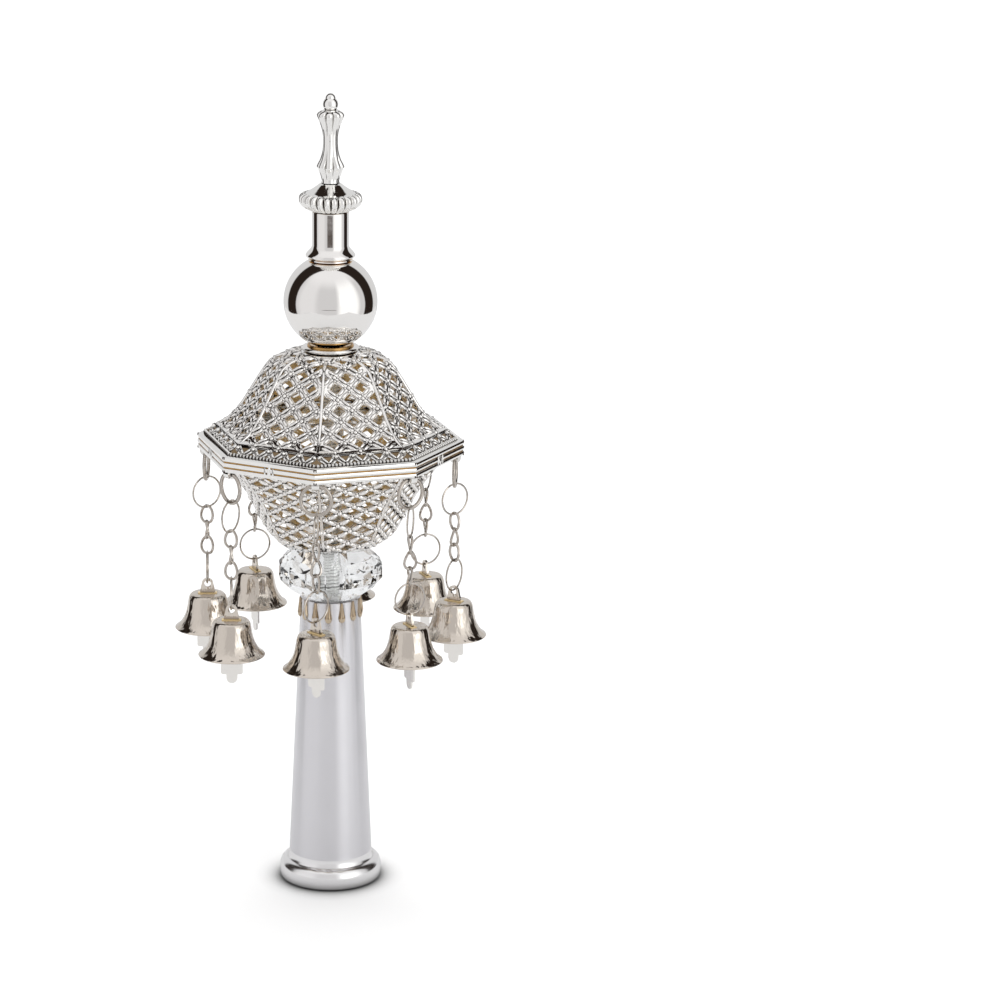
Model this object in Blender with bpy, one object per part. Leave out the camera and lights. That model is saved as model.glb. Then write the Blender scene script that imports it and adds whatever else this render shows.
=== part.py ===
# Torah finial: an octagonal openwork lantern with eight bells, on a tapered hollow staff.
# Metres, +Z up. The origin is the centre of the foot's underside, and the front is -Y,
# where one corner of the octagon points.

import math

import bmesh
import bpy
from mathutils import Matrix, Vector

# Clearance between pieces that seat on each other
SEAM = 0.0003

# Staff: tapered tube that takes a round handle, with a rolled foot
STAFF_HEIGHT = 0.1040
STAFF_TOP_RADIUS = 0.01035
STAFF_LOW_RADIUS = 0.01450
STAFF_WALL = 0.0012
STAFF_CROWN = 0.0020
FOOT_RADIUS = 0.01795
FOOT_BASE_RADIUS = 0.01710
FOOT_HEIGHT = 0.0075
FOOT_FLARE = 0.0029
DROP_COUNT = 14
DROP_LENGTH = 0.0076
DROP_RELIEF = 0.0009
DROP_PHASE = math.radians(2.4)

# Threaded rod through the whole stack
ROD_RADIUS = 0.0040
ROD_END_IN_NECK = 0.0050

# Crystal bead
CRYSTAL_RADIUS = 0.0181
CRYSTAL_HEIGHT = 0.0182
CRYSTAL_TABLE_RADIUS = 0.0104
CRYSTAL_BELT = 0.0050
CRYSTAL_FACETS = 16

# Rim between the two halves of the lantern, sizes at its corners
RIM_RADIUS = 0.04626
RIM_FASCIA = 0.0054
RIM_RISE = 0.0034
RIM_SLOPE = 0.0069
RIM_SHEET = 0.0010
RIM_SEAT = 0.0020
RIM_RECESS = 0.0008
REED_COUNT = 3
REED_DEPTH = 0.0005

# Eyelet under each corner of the rim
EYE_WIDTH = 0.0026
EYE_WALL = 0.0010
EYE_PLAY = 0.0005
EYE_BITE = 0.0006
EYE_CLEARANCE = 0.0005

# Octagonal lantern: heights of its halves, and the open part of each lattice cell
LANTERN_WALL = 0.0011
LOWER_HEIGHT = 0.0333
UPPER_HEIGHT = 0.02675
LOWER_ROWS = 3
UPPER_ROWS = 3
OPENING_SHARE = 0.66

# Collar, ball and neck
COLLAR_RADIUS = 0.0098
COLLAR_HEIGHT = 0.0013
BALL_RADIUS = 0.01605
BALL_SEAT_RADIUS = 0.0050
BALL_WALL = 0.0012
NECK_SEAT_RADIUS = 0.0079
NECK_RADIUS = 0.00627
NECK_FLARE_RADIUS = 0.0085
NECK_FLARE_HEIGHT = 0.0048
NECK_HEIGHT = 0.01673
NECK_WALL = 0.0011

# Gadrooned knop
KNOP_RADIUS = 0.01085
KNOP_HEIGHT = 0.0094
KNOP_LOBES = 24
KNOP_LOBE_DEPTH = 0.07
KNOP_SPIGOT = 0.0032

# Leafed spindle
SPINDLE_HEIGHT = 0.0304
SPINDLE_RADIUS = 0.0032
SPINDLE_LEAF_RADIUS = 0.00475
SPINDLE_WAIST_RADIUS = 0.0026
SPINDLE_BALL_RADIUS = 0.0027
SPINDLE_TIP_RADIUS = 0.0018
SPINDLE_LEAVES = 8

# Chains: a thick ring, a thin ring, three oval links and a thin ring
THICK_RING_DIAMETER = 0.0103
THICK_WIRE = 0.00065
THIN_RING_DIAMETER = 0.0110
THIN_WIRE = 0.0003
LINK_LENGTH = 0.0062
LINK_WIDTH = 0.0037
LINK_WIRE = 0.0004
LINK_COUNT = 3
LINK_SWING = 78.0
BITE = 0.8

# Bells with a hanger tab and a flat clapper
BELL_HEIGHT = 0.0124
BELL_LIP_RADIUS = 0.0114
BELL_CROWN_RADIUS = 0.0060
BELL_WALL = 0.0008
TAB_WIDTH = 0.0058
TAB_THICKNESS = 0.0008
TAB_BRIDGE = 0.0008
TAB_PLAY = 0.0008
TAB_RISE = 0.0024
CLAPPER_WIDTH = 0.0075
CLAPPER_DROP = 0.0146
CLAPPER_PLATE = 0.0048
CLAPPER_TAIL = 0.0032
CLAPPER_THICKNESS = 0.0007

# Corners of the octagon, from the front anticlockwise as seen from above, and the turns
# about the vertical at which the middle ring and the lower ring of each chain have settled
CORNERS = {
    "front": (90.0, 50.0),
    "front_right": (84.0, 30.0),
    "right": (43.0, 65.0),
    "back_right": (76.0, 26.0),
    "back": (90.0, 80.0),
    "back_left": (-25.0, 26.0),
    "left": (40.0, 96.0),
    "front_left": (66.0, 96.0),
}
OCTAGON = len(CORNERS)

# Radii that follow from the rim: the eyelets, and the halves of the lantern beside them
EYE_HOLE_RADIUS = THICK_WIRE + EYE_PLAY
EYE_RADIUS = EYE_HOLE_RADIUS + EYE_WALL
FASCIA_INSIDE = RIM_RADIUS - REED_DEPTH - RIM_SHEET
EYE_AT = FASCIA_INSIDE + EYE_BITE - EYE_RADIUS
LOWER_TOP_RADIUS = EYE_AT - EYE_RADIUS - EYE_CLEARANCE
SEAT_RADIUS = RIM_RADIUS - RIM_SLOPE
UPPER_BOTTOM_RADIUS = SEAT_RADIUS - RIM_SEAT / 3

# Heights of the stack, each from the piece below
CRYSTAL_Z = STAFF_HEIGHT + SEAM
LOWER_Z = CRYSTAL_Z + CRYSTAL_HEIGHT + SEAM
LEDGE_Z = LOWER_Z + LOWER_HEIGHT + SEAM
RIM_Z = LEDGE_Z - RIM_RECESS
RIM_TOP_Z = RIM_Z + RIM_FASCIA + RIM_RISE
EYE_Z = LEDGE_Z - EYE_HOLE_RADIUS - 0.2 * EYE_WALL
UPPER_Z = RIM_TOP_Z + SEAM
COLLAR_Z = UPPER_Z + UPPER_HEIGHT + SEAM
BALL_BASE_Z = COLLAR_Z + COLLAR_HEIGHT + SEAM
BALL_Z = BALL_BASE_Z + math.sqrt(BALL_RADIUS**2 - BALL_SEAT_RADIUS**2)
BALL_TOP_Z = BALL_Z + math.sqrt(BALL_RADIUS**2 - NECK_SEAT_RADIUS**2)
NECK_Z = BALL_TOP_Z + SEAM
KNOP_Z = NECK_Z + NECK_HEIGHT + SEAM
SPINDLE_Z = KNOP_Z + KNOP_HEIGHT + SEAM


def clear_scene():
    for thing in list(bpy.data.objects):
        bpy.data.objects.remove(thing, do_unlink=True)


def material(name, colour, roughness, metallic, transmission=0.0):
    made = bpy.data.materials.new(name)
    made.use_nodes = True
    shader = made.node_tree.nodes["Principled BSDF"]
    shader.inputs["Base Color"].default_value = (*colour, 1.0)
    shader.inputs["Roughness"].default_value = roughness
    shader.inputs["Metallic"].default_value = metallic
    shader.inputs["Transmission Weight"].default_value = transmission
    return made


def lean(low, high, share):
    return low + (high - low) * share


def circle(radius, z, sides, phase=0.0):
    turn = 2 * math.pi / sides
    return [
        (radius * math.sin(phase + k * turn), -radius * math.cos(phase + k * turn), z)
        for k in range(sides)
    ]


def octagon(radius, z):
    return circle(radius, z, OCTAGON)


def bore(z, sides, phase=0.0):
    """The rod's hole: its flats, not its corners, keep the clearance."""
    return circle((ROD_RADIUS + SEAM) / math.cos(math.pi / sides), z, sides, phase)


def lobed(radius, z, lobes, depth, phase=0.0):
    """A ring with one crest and one valley for each lobe."""
    crests = circle(radius, z, 2 * lobes, phase)
    valleys = circle(radius * (1.0 - depth), z, 2 * lobes, phase)
    return [valleys[k] if k % 2 else crests[k] for k in range(2 * lobes)]


def lathe(profile, sides):
    return [circle(radius, z, sides) for radius, z in profile]


def skin(rings, closed=False, caps=False):
    """Joins rings of points into one surface; a ring can be one point or have fewer points."""
    made = bmesh.new()
    rows = [[made.verts.new(point) for point in ring] for ring in rings]
    pairs = list(zip(rows, rows[1:]))
    if closed:
        pairs.append((rows[-1], rows[0]))
    for low, high in pairs:
        count = max(len(low), len(high))
        for k in range(count):
            far = (k + 1) % count
            corners = (
                low[k * len(low) // count],
                low[far * len(low) // count],
                high[far * len(high) // count],
                high[k * len(high) // count],
            )
            made.faces.new(list(dict.fromkeys(corners)))
    if caps:
        made.faces.new(rows[0])
        made.faces.new(rows[-1])
    return made


def smooth(mesh, sharp):
    mesh.shade_smooth()
    mesh.set_sharp_from_angle(angle=math.radians(sharp))


def place(name, made, finish, sharp=35.0, matrix=None):
    """Turns a bmesh into a named object with its faces pointing out."""
    bmesh.ops.recalc_face_normals(made, faces=made.faces)
    mesh = bpy.data.meshes.new(name)
    made.to_mesh(mesh)
    made.free()
    smooth(mesh, sharp)
    mesh.materials.append(finish)
    thing = bpy.data.objects.new(name, mesh)
    if matrix is not None:
        thing.matrix_world = matrix
    bpy.context.scene.collection.objects.link(thing)
    return thing


def fuse(base, extras, sharp=35.0):
    """Makes one body of a base and the pieces cast or closed on it."""
    for extra in extras:
        join = base.modifiers.new("with " + extra.name, "BOOLEAN")
        join.operation = "UNION"
        join.solver = "EXACT"
        join.object = extra
    bpy.context.view_layer.update()
    whole = base.evaluated_get(bpy.context.evaluated_depsgraph_get())
    mesh = bpy.data.meshes.new_from_object(whole)
    base.modifiers.clear()
    base.data = mesh
    smooth(mesh, sharp)
    for extra in extras:
        bpy.data.objects.remove(extra, do_unlink=True)


def make_staff(finish):
    cone_z = FOOT_HEIGHT + FOOT_FLARE
    sides = 2 * DROP_COUNT

    def cone(z):
        share = (z - cone_z) / (STAFF_HEIGHT - cone_z)
        return lean(STAFF_LOW_RADIUS, STAFF_TOP_RADIUS, share)

    foot = (
        (FOOT_BASE_RADIUS, 0.0),
        (lean(FOOT_BASE_RADIUS, FOOT_RADIUS, 0.85), 0.17 * FOOT_HEIGHT),
        (FOOT_RADIUS, 0.45 * FOOT_HEIGHT),
        (lean(STAFF_LOW_RADIUS, FOOT_RADIUS, 0.86), 0.82 * FOOT_HEIGHT),
        (lean(STAFF_LOW_RADIUS, FOOT_RADIUS, 0.40), FOOT_HEIGHT),
        (lean(STAFF_LOW_RADIUS, FOOT_RADIUS, 0.04), FOOT_HEIGHT + 0.5 * FOOT_FLARE),
        (STAFF_LOW_RADIUS, cone_z),
    )
    rings = [circle(radius, z, sides, DROP_PHASE) for radius, z in foot]
    drops_z = STAFF_HEIGHT - DROP_LENGTH
    rings.append(circle(cone(drops_z), drops_z, sides, DROP_PHASE))
    for share, relief in ((0.12, 0.8), (0.32, 1.0), (1.00, 0.5)):
        z = drops_z + share * DROP_LENGTH
        crest = cone(z) + relief * DROP_RELIEF
        rings.append(lobed(crest, z, DROP_COUNT, 1.0 - cone(z) / crest, DROP_PHASE))
    ceiling = STAFF_HEIGHT - STAFF_CROWN
    rings.append(bore(STAFF_HEIGHT, DROP_COUNT, DROP_PHASE))
    rings.append(bore(ceiling, DROP_COUNT, DROP_PHASE))
    rings.append(circle(cone(ceiling) - STAFF_WALL, ceiling, sides, DROP_PHASE))
    rings.append(circle(STAFF_LOW_RADIUS - STAFF_WALL, 0.0, sides, DROP_PHASE))
    return place("staff", skin(rings, closed=True), finish)


def make_rod(finish):
    bottom = STAFF_HEIGHT - STAFF_CROWN
    top = NECK_Z + ROD_END_IN_NECK
    rings = [circle(ROD_RADIUS, z, 12) for z in (bottom, top)]
    return place("threaded_rod", skin(rings, caps=True), finish)


def make_crystal(finish):
    """Rings of facets; some rings are turned by half a facet, so the belts are triangles."""
    table = CRYSTAL_TABLE_RADIUS
    slope = (CRYSTAL_HEIGHT - CRYSTAL_BELT) / 2
    shoulder = lean(table, CRYSTAL_RADIUS, 0.67)
    rings = (
        (ROD_RADIUS + SEAM, 0.0, 0),
        (table, 0.0, 0),
        (shoulder, 0.55 * slope, 1),
        (CRYSTAL_RADIUS, slope, 0),
        (CRYSTAL_RADIUS, slope + CRYSTAL_BELT, 0),
        (shoulder, CRYSTAL_HEIGHT - 0.55 * slope, 1),
        (table, CRYSTAL_HEIGHT, 0),
        (ROD_RADIUS + SEAM, CRYSTAL_HEIGHT, 0),
    )
    made = bmesh.new()
    rows = []
    for radius, z, turned in rings:
        phase = turned * math.pi / CRYSTAL_FACETS
        ring = circle(radius, CRYSTAL_Z + z, CRYSTAL_FACETS, phase)
        rows.append(([made.verts.new(point) for point in ring], turned))
    for (low, low_turned), (high, high_turned) in zip(rows, rows[1:] + rows[:1]):
        for k in range(CRYSTAL_FACETS):
            far = (k + 1) % CRYSTAL_FACETS
            if low_turned == high_turned:
                made.faces.new((low[k], low[far], high[far], high[k]))
            elif high_turned:
                made.faces.new((low[k], low[far], high[k]))
                made.faces.new((low[far], high[far], high[k]))
            else:
                made.faces.new((low[k], high[far], high[k]))
                made.faces.new((low[k], low[far], high[far]))
    return place("crystal", made, finish, sharp=1.0)


def offset_profile(profile, wall):
    """The same (radius, height) line, moved by the wall towards the inside of the lantern."""
    moved = []
    for k, (radius, z) in enumerate(profile):
        before = Vector(profile[max(k - 1, 0)])
        after = Vector(profile[min(k + 1, len(profile) - 1)])
        along = (after - before).normalized()
        rise = along.x * math.copysign(1.0, along.y)
        moved.append((radius - wall * abs(along.y), z + wall * rise))
    return moved


def make_lantern(name, profile, rows, finish):
    """Octagonal shell with diamond openings in its panels, closed but for the rod's bore.

    The bars between the openings are flat outside and taper to a ridge inside.
    The profile runs from the open end, through the lattice from its second to its
    third-last point, over the shoulder to the edge of the flat end plate.
    """
    lines = (profile, offset_profile(profile, LANTERN_WALL))
    plate_z = (profile[-1][1], lines[1][-1][1])
    lines[1][0] = (lines[1][0][0], profile[0][1])
    start, stop = profile[1][1], profile[-3][1]
    columns = 4
    levels = 2 * rows
    made = bmesh.new()
    points = {}

    def radius_at(line, z):
        for (r0, z0), (r1, z1) in zip(line, line[1:]):
            if min(z0, z1) <= z <= max(z0, z1):
                return lean(r0, r1, (z - z0) / (z1 - z0))
        return line[-1][0]

    def lattice(layer, side, column, row):
        """A point of the outer (0) or inner (1) face; panels share those at the corners."""
        if column == columns:
            side, column = side + 1, 0
        key = (layer, side % OCTAGON, round(column, 4), round(row, 4))
        if key not in points:
            z = lean(start, stop, row / levels)
            ring = octagon(radius_at(lines[layer], z), z)
            here, there = Vector(ring[side % OCTAGON]), Vector(ring[(side + 1) % OCTAGON])
            points[key] = made.verts.new(here.lerp(there, column / columns))
        return points[key]

    def ring(radius, z):
        return [made.verts.new(point) for point in octagon(radius, z)]

    def strip(low, high):
        for k in range(OCTAGON):
            far = (k + 1) % OCTAGON
            made.faces.new((low[k], low[far], high[far], high[k]))

    edges = [ring(*line[0]) for line in lines]
    shoulders = [ring(*line[-2]) for line in lines]
    plates = [ring(*line[-1]) for line in lines]
    holes = [[made.verts.new(point) for point in bore(z, OCTAGON)] for z in plate_z]
    strip(edges[0], edges[1])
    strip(holes[0], holes[1])
    for layer in (0, 1):
        strip(shoulders[layer], plates[layer])
        strip(plates[layer], holes[layer])
        for side in range(OCTAGON):
            far = (side + 1) % OCTAGON

            def at(column, row, layer=layer, side=side):
                return lattice(layer, side, column, row)

            for end, step, border in ((0, 1, edges[layer]), (levels, -1, shoulders[layer])):
                inward = [at(column, end) for column in (4, 3, 1, 0)]
                made.faces.new([border[side], border[far]] + inward)
                made.faces.new((at(0, end), at(1, end), at(0, end + step)))
                made.faces.new((at(1, end), at(3, end), at(2, end + step)))
                made.faces.new((at(3, end), at(4, end), at(4, end + step)))
            for row in range(2, levels, 2):
                made.faces.new((at(0, row - 1), at(1, row), at(0, row + 1)))
                made.faces.new((at(4, row - 1), at(3, row), at(4, row + 1)))
    around = ((-1, 0), (0, -1), (1, 0), (0, 1))
    for side in range(OCTAGON):
        for column in range(1, columns):
            for row in range(1, levels):
                if (column + row) % 2:
                    continue
                bars = [lattice(0, side, column + c, row + r) for c, r in around]
                ridges = [lattice(1, side, column + c, row + r) for c, r in around]
                hole = [
                    lattice(0, side, column + c * OPENING_SHARE, row + r * OPENING_SHARE)
                    for c, r in around
                ]
                for k in range(4):
                    far = (k + 1) % 4
                    made.faces.new((bars[k], bars[far], hole[far], hole[k]))
                    made.faces.new((hole[k], hole[far], ridges[far], ridges[k]))
    return place(name, made, finish)


def make_lower_lantern(finish):
    shape = (
        (1.000, 1.000),
        (0.975, 0.955),
        (0.895, 0.817),
        (0.800, 0.667),
        (0.709, 0.486),
        (0.637, 0.306),
        (0.562, 0.141),
        (0.460, 0.033),
        (0.310, 0.000),
    )
    profile = [(r * LOWER_TOP_RADIUS, LOWER_Z + h * LOWER_HEIGHT) for r, h in shape]
    return make_lantern("lower_lantern", profile, LOWER_ROWS, finish)


def make_upper_lantern(finish):
    shape = (
        (1.000, 0.000),
        (0.950, 0.057),
        (0.886, 0.131),
        (0.800, 0.295),
        (0.725, 0.471),
        (0.655, 0.639),
        (0.593, 0.781),
        (0.534, 0.893),
        (0.440, 0.968),
        (0.324, 1.000),
    )
    profile = [(r * UPPER_BOTTOM_RADIUS, UPPER_Z + h * UPPER_HEIGHT) for r, h in shape]
    return make_lantern("upper_lantern", profile, UPPER_ROWS, finish)


def make_rim(finish):
    """Reeded octagonal band, with a slope up to the seat and a ledge for the lower half."""
    reed = RIM_FASCIA / REED_COUNT
    lip = REED_DEPTH / 2
    groove = RIM_RADIUS - REED_DEPTH
    section = []
    for k in range(REED_COUNT):
        base = RIM_Z + k * reed
        section += [(groove, base), (RIM_RADIUS, base + lip), (RIM_RADIUS, base + reed - lip)]
    shoulder_z = RIM_Z + RIM_FASCIA
    seat = UPPER_BOTTOM_RADIUS - RIM_SEAT
    ledge = LOWER_TOP_RADIUS - RIM_SEAT
    section += [
        (groove, shoulder_z),
        (SEAT_RADIUS, RIM_TOP_Z),
        (seat, RIM_TOP_Z),
        (seat, RIM_TOP_Z - RIM_SHEET),
        (SEAT_RADIUS, RIM_TOP_Z - RIM_SHEET),
        (FASCIA_INSIDE, shoulder_z - RIM_SHEET),
        (FASCIA_INSIDE, LEDGE_Z + RIM_SHEET),
        (ledge, LEDGE_Z + RIM_SHEET),
        (ledge, LEDGE_Z),
        (FASCIA_INSIDE, LEDGE_Z),
        (FASCIA_INSIDE, RIM_Z),
    ]
    band = place("rim", skin([octagon(r, z) for r, z in section], closed=True), finish)
    root = LEDGE_Z + 0.6 * RIM_SHEET - EYE_Z
    hole = [(y, z) for y, z, _ in circle(EYE_HOLE_RADIUS, 0.0, 6)]
    lug = [(y, z if z < 0.0 else root) for y, z, _ in circle(EYE_RADIUS, 0.0, 6)]
    eyes = []
    for k in range(OCTAGON):
        rings = []
        for outline, side in ((hole, -0.5), (lug, -0.5), (lug, 0.5), (hole, 0.5)):
            rings.append([(side * EYE_WIDTH, y, z) for y, z in outline])
        spot = Matrix.Rotation(k * 2 * math.pi / OCTAGON, 4, "Z")
        spot = spot @ Matrix.Translation((0.0, -EYE_AT, EYE_Z))
        eyes.append(place("eye", skin(rings, closed=True), finish, matrix=spot))
    fuse(band, eyes)
    return band


def make_collar(finish):
    edge = COLLAR_HEIGHT / 4
    hole = ROD_RADIUS + SEAM
    profile = (
        (hole, COLLAR_Z),
        (COLLAR_RADIUS - edge, COLLAR_Z),
        (COLLAR_RADIUS, COLLAR_Z + edge),
        (COLLAR_RADIUS, COLLAR_Z + COLLAR_HEIGHT - edge),
        (COLLAR_RADIUS - edge, COLLAR_Z + COLLAR_HEIGHT),
        (hole, COLLAR_Z + COLLAR_HEIGHT),
    )
    return place("collar", skin(lathe(profile, 16), closed=True), finish)


def sphere_bands(radius, low, high, bands, sides):
    """Rings on the ball's sphere or the one inside it, from one height to another."""
    start = math.asin((low - BALL_Z) / radius)
    end = math.asin((high - BALL_Z) / radius)
    rings = []
    for k in range(bands + 1):
        angle = lean(start, end, k / bands)
        z = BALL_Z + radius * math.sin(angle)
        rings.append(circle(radius * math.cos(angle), z, sides))
    return rings


def make_ball(finish):
    """Hollow sphere, flat where it seats, with the rod's holes through its wall."""
    floor, ceiling = BALL_BASE_Z + BALL_WALL, BALL_TOP_Z - BALL_WALL
    outside, inside = 20, 10
    rings = [bore(BALL_BASE_Z, inside)]
    rings += sphere_bands(BALL_RADIUS, BALL_BASE_Z, BALL_TOP_Z, 8, outside)
    rings += [bore(BALL_TOP_Z, inside), bore(ceiling, inside)]
    rings += sphere_bands(BALL_RADIUS - BALL_WALL, ceiling, floor, 4, inside)
    rings.append(bore(floor, inside))
    return place("ball", skin(rings, closed=True), finish)


def make_neck(finish):
    hollow = NECK_RADIUS - NECK_WALL
    groove = lean(NECK_RADIUS, NECK_FLARE_RADIUS, 0.5)
    flare = (
        (hollow, 0.0),
        (NECK_SEAT_RADIUS, 0.0),
        (NECK_SEAT_RADIUS, 0.10),
        (groove, 0.16),
        (NECK_FLARE_RADIUS, 0.29),
        (NECK_FLARE_RADIUS, 0.48),
        (lean(NECK_RADIUS, NECK_FLARE_RADIUS, 0.45), 0.75),
        (NECK_RADIUS, 1.0),
    )
    profile = [(radius, NECK_Z + share * NECK_FLARE_HEIGHT) for radius, share in flare]
    profile += [(NECK_RADIUS, NECK_Z + NECK_HEIGHT), (hollow, NECK_Z + NECK_HEIGHT)]
    return place("neck", skin(lathe(profile, 16), closed=True), finish)


def make_knop(finish):
    spigot = NECK_RADIUS - NECK_WALL - SEAM
    foot = lean(NECK_RADIUS, KNOP_RADIUS, 0.08)
    top = SPINDLE_RADIUS + SEAM
    rings = [
        [(0.0, 0.0, KNOP_Z - KNOP_SPIGOT)],
        circle(spigot, KNOP_Z - KNOP_SPIGOT, 12),
        circle(spigot, KNOP_Z, 12),
        lobed(foot, KNOP_Z, KNOP_LOBES, 0.0),
    ]
    fluted = ((0.52, 0.13, 0.8), (0.96, 0.33, 1.0), (0.97, 0.54, 0.9))
    for share, height, depth in fluted:
        radius = lean(foot, KNOP_RADIUS, share)
        z = KNOP_Z + height * KNOP_HEIGHT
        rings.append(lobed(radius, z, KNOP_LOBES, depth * KNOP_LOBE_DEPTH))
    for share, height in ((0.80, 0.67), (0.45, 0.83), (0.0, 1.0)):
        z = KNOP_Z + height * KNOP_HEIGHT
        rings.append(circle(lean(top, KNOP_RADIUS, share), z, KNOP_LOBES))
    rings.append([(0.0, 0.0, KNOP_Z + KNOP_HEIGHT)])
    return place("knop", skin(rings), finish)


def make_spindle(finish):
    leaf = SPINDLE_LEAF_RADIUS
    waist = SPINDLE_WAIST_RADIUS
    stem = (
        (SPINDLE_RADIUS, 0.000, 0.05),
        (leaf, 0.180, 0.17),
        (lean(waist, leaf, 0.45), 0.270, 0.16),
        (waist, 0.400, 0.10),
        (waist, 0.560, 0.10),
        (lean(waist, leaf, 0.40), 0.640, 0.14),
        (leaf, 0.765, 0.20),
        (lean(waist, leaf, 0.50), 0.812, 0.12),
    )
    rings = [[(0.0, 0.0, SPINDLE_Z)]]
    for radius, height, depth in stem:
        rings.append(lobed(radius, SPINDLE_Z + height * SPINDLE_HEIGHT, SPINDLE_LEAVES, depth))
    balls = (
        (SPINDLE_BALL_RADIUS, 0.860),
        (0.80 * SPINDLE_BALL_RADIUS, 0.905),
        (SPINDLE_TIP_RADIUS, 0.940),
        (0.70 * SPINDLE_TIP_RADIUS, 0.985),
    )
    for radius, height in balls:
        rings.append(circle(radius, SPINDLE_Z + height * SPINDLE_HEIGHT, SPINDLE_LEAVES))
    rings.append([(0.0, 0.0, SPINDLE_Z + SPINDLE_HEIGHT)])
    return place("spindle", skin(rings), finish)


def wire_loop(width, height, wire, steps, section, flat):
    """A closed wire standing in the XZ plane, with a ridge inside so that loops touch there.

    With flat, its top and bottom are sides of the loop's polygon, not corners.
    """
    phase = math.pi / steps if flat else 0.0
    swell = 1.0 / math.cos(phase)
    rings = []
    for k in range(steps):
        turn = 2 * math.pi * k / steps + phase
        x, z = math.sin(turn), math.cos(turn)
        centre = Vector((swell * width / 2 * x, 0.0, swell * height / 2 * z))
        out = Vector((x / width, 0.0, z / height)).normalized() * swell
        ring = []
        for j in range(section):
            angle = math.pi + 2 * math.pi * j / section
            across = Vector((0.0, wire * math.sin(angle), 0.0))
            ring.append(centre + out * (wire * math.cos(angle)) + across)
        rings.append(ring)
    return skin(rings, closed=True)


def chain_levels(middle=90.0, lower=0.0):
    """(width, height, wire, steps, turn, top of its centreline) of each loop, downwards.

    Turns are in degrees from the rim's own direction, and middle and lower are those of the
    two thin rings. The links stand across and along the lower ring in turn.
    """
    thick, thin = THICK_RING_DIAMETER, THIN_RING_DIAMETER
    loops = [(thick, thick, THICK_WIRE, 8, 0.0), (thin, thin, THIN_WIRE, 8, middle)]
    for k in range(LINK_COUNT):
        turn = lower + LINK_SWING * ((LINK_COUNT - k) % 2)
        loops.append((LINK_WIDTH, LINK_LENGTH, LINK_WIRE, 6, turn))
    loops.append((thin, thin, THIN_WIRE, 8, lower))
    top = EYE_Z - EYE_HOLE_RADIUS + THICK_WIRE + SEAM
    levels = []
    for width, height, wire, steps, turn in loops:
        if levels:
            above = levels[-1]
            top = above[5] - above[1] + BITE * (above[2] + wire)
        levels.append((width, height, wire, steps, turn, top))
    return levels


def make_chain(name, azimuth, ring_turns, finish):
    loops = []
    turns = [turn - math.degrees(azimuth) for turn in ring_turns]
    for width, height, wire, steps, turn, top in chain_levels(*turns):
        spot = (
            Matrix.Rotation(azimuth, 4, "Z")
            @ Matrix.Translation((0.0, -EYE_AT, top - height / 2))
            @ Matrix.Rotation(math.radians(turn), 4, "Z")
        )
        made = wire_loop(width, height, wire, steps, 3, flat=steps > 6)
        loops.append(place(name, made, finish, matrix=spot))
    fuse(loops[0], loops[1:])
    return loops[0]


def bell_frame(azimuth, turn):
    """Where a bell hangs: the origin is the centre of its crown's top face."""
    last = chain_levels()[-1]
    hole_top = last[5] - last[1] + THIN_WIRE + SEAM
    crown_z = hole_top - 2 * (THIN_WIRE + TAB_PLAY) - TAB_RISE
    return (
        Matrix.Rotation(azimuth, 4, "Z")
        @ Matrix.Translation((0.0, -EYE_AT, crown_z))
        @ Matrix.Rotation(turn, 4, "Z")
    )


def make_bell(name, frame, finish):
    sides = 10
    shape = ((0.00, 0.00), (0.14, 0.13), (0.36, 0.60), (0.70, 0.87), (1.00, 1.00))
    outer = [
        (lean(BELL_CROWN_RADIUS, BELL_LIP_RADIUS, spread), -depth * BELL_HEIGHT)
        for spread, depth in shape
    ]
    inner = [(radius - BELL_WALL, z) for radius, z in reversed(outer[2:-1])]
    inner.append((BELL_CROWN_RADIUS - BELL_WALL, -BELL_WALL))
    rings = [[(0.0, 0.0, 0.0)]] + lathe(outer + inner, sides) + [[(0.0, 0.0, -BELL_WALL)]]
    shell = place(name, skin(rings), finish, matrix=frame)
    hole = THIN_WIRE + TAB_PLAY
    centre = TAB_RISE + hole
    swell = 1.0 / math.cos(math.pi / 6)

    def round_hole(radius, count):
        turns = [k * math.pi / 3 for k in range(count)]
        return [
            (swell * radius * math.cos(t), centre + swell * radius * math.sin(t)) for t in turns
        ]

    opening = round_hole(hole, 6)
    edge = round_hole(hole + TAB_BRIDGE, 4)
    edge += [(-TAB_WIDTH / 2, -BELL_WALL / 2), (TAB_WIDTH / 2, -BELL_WALL / 2)]
    rings = []
    for outline, side in ((opening, -0.5), (edge, -0.5), (edge, 0.5), (opening, 0.5)):
        rings.append([(x, side * TAB_THICKNESS, z) for x, z in outline])
    tab = place("tab", skin(rings, closed=True), finish, matrix=frame)
    fuse(shell, [tab])
    return shell


def make_clapper(name, frame, finish):
    """A flat stamped striker: a narrow stem, a wide plate and a tongue below it."""
    stem = 0.08 * CLAPPER_WIDTH
    tongue = 0.24 * CLAPPER_WIDTH
    plate = -CLAPPER_DROP
    low = plate - CLAPPER_PLATE
    right = [
        (stem, -BELL_WALL - SEAM),
        (stem, plate + 0.2 * CLAPPER_PLATE),
        (CLAPPER_WIDTH / 2, plate),
        (CLAPPER_WIDTH / 2, low),
        (tongue, low),
        (0.6 * tongue, low - CLAPPER_TAIL),
    ]
    outline = right + [(-x, z) for x, z in reversed(right)]
    rings = [[(x, side * CLAPPER_THICKNESS, z) for x, z in outline] for side in (-0.5, 0.5)]
    return place(name, skin(rings, caps=True), finish, matrix=frame)


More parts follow.
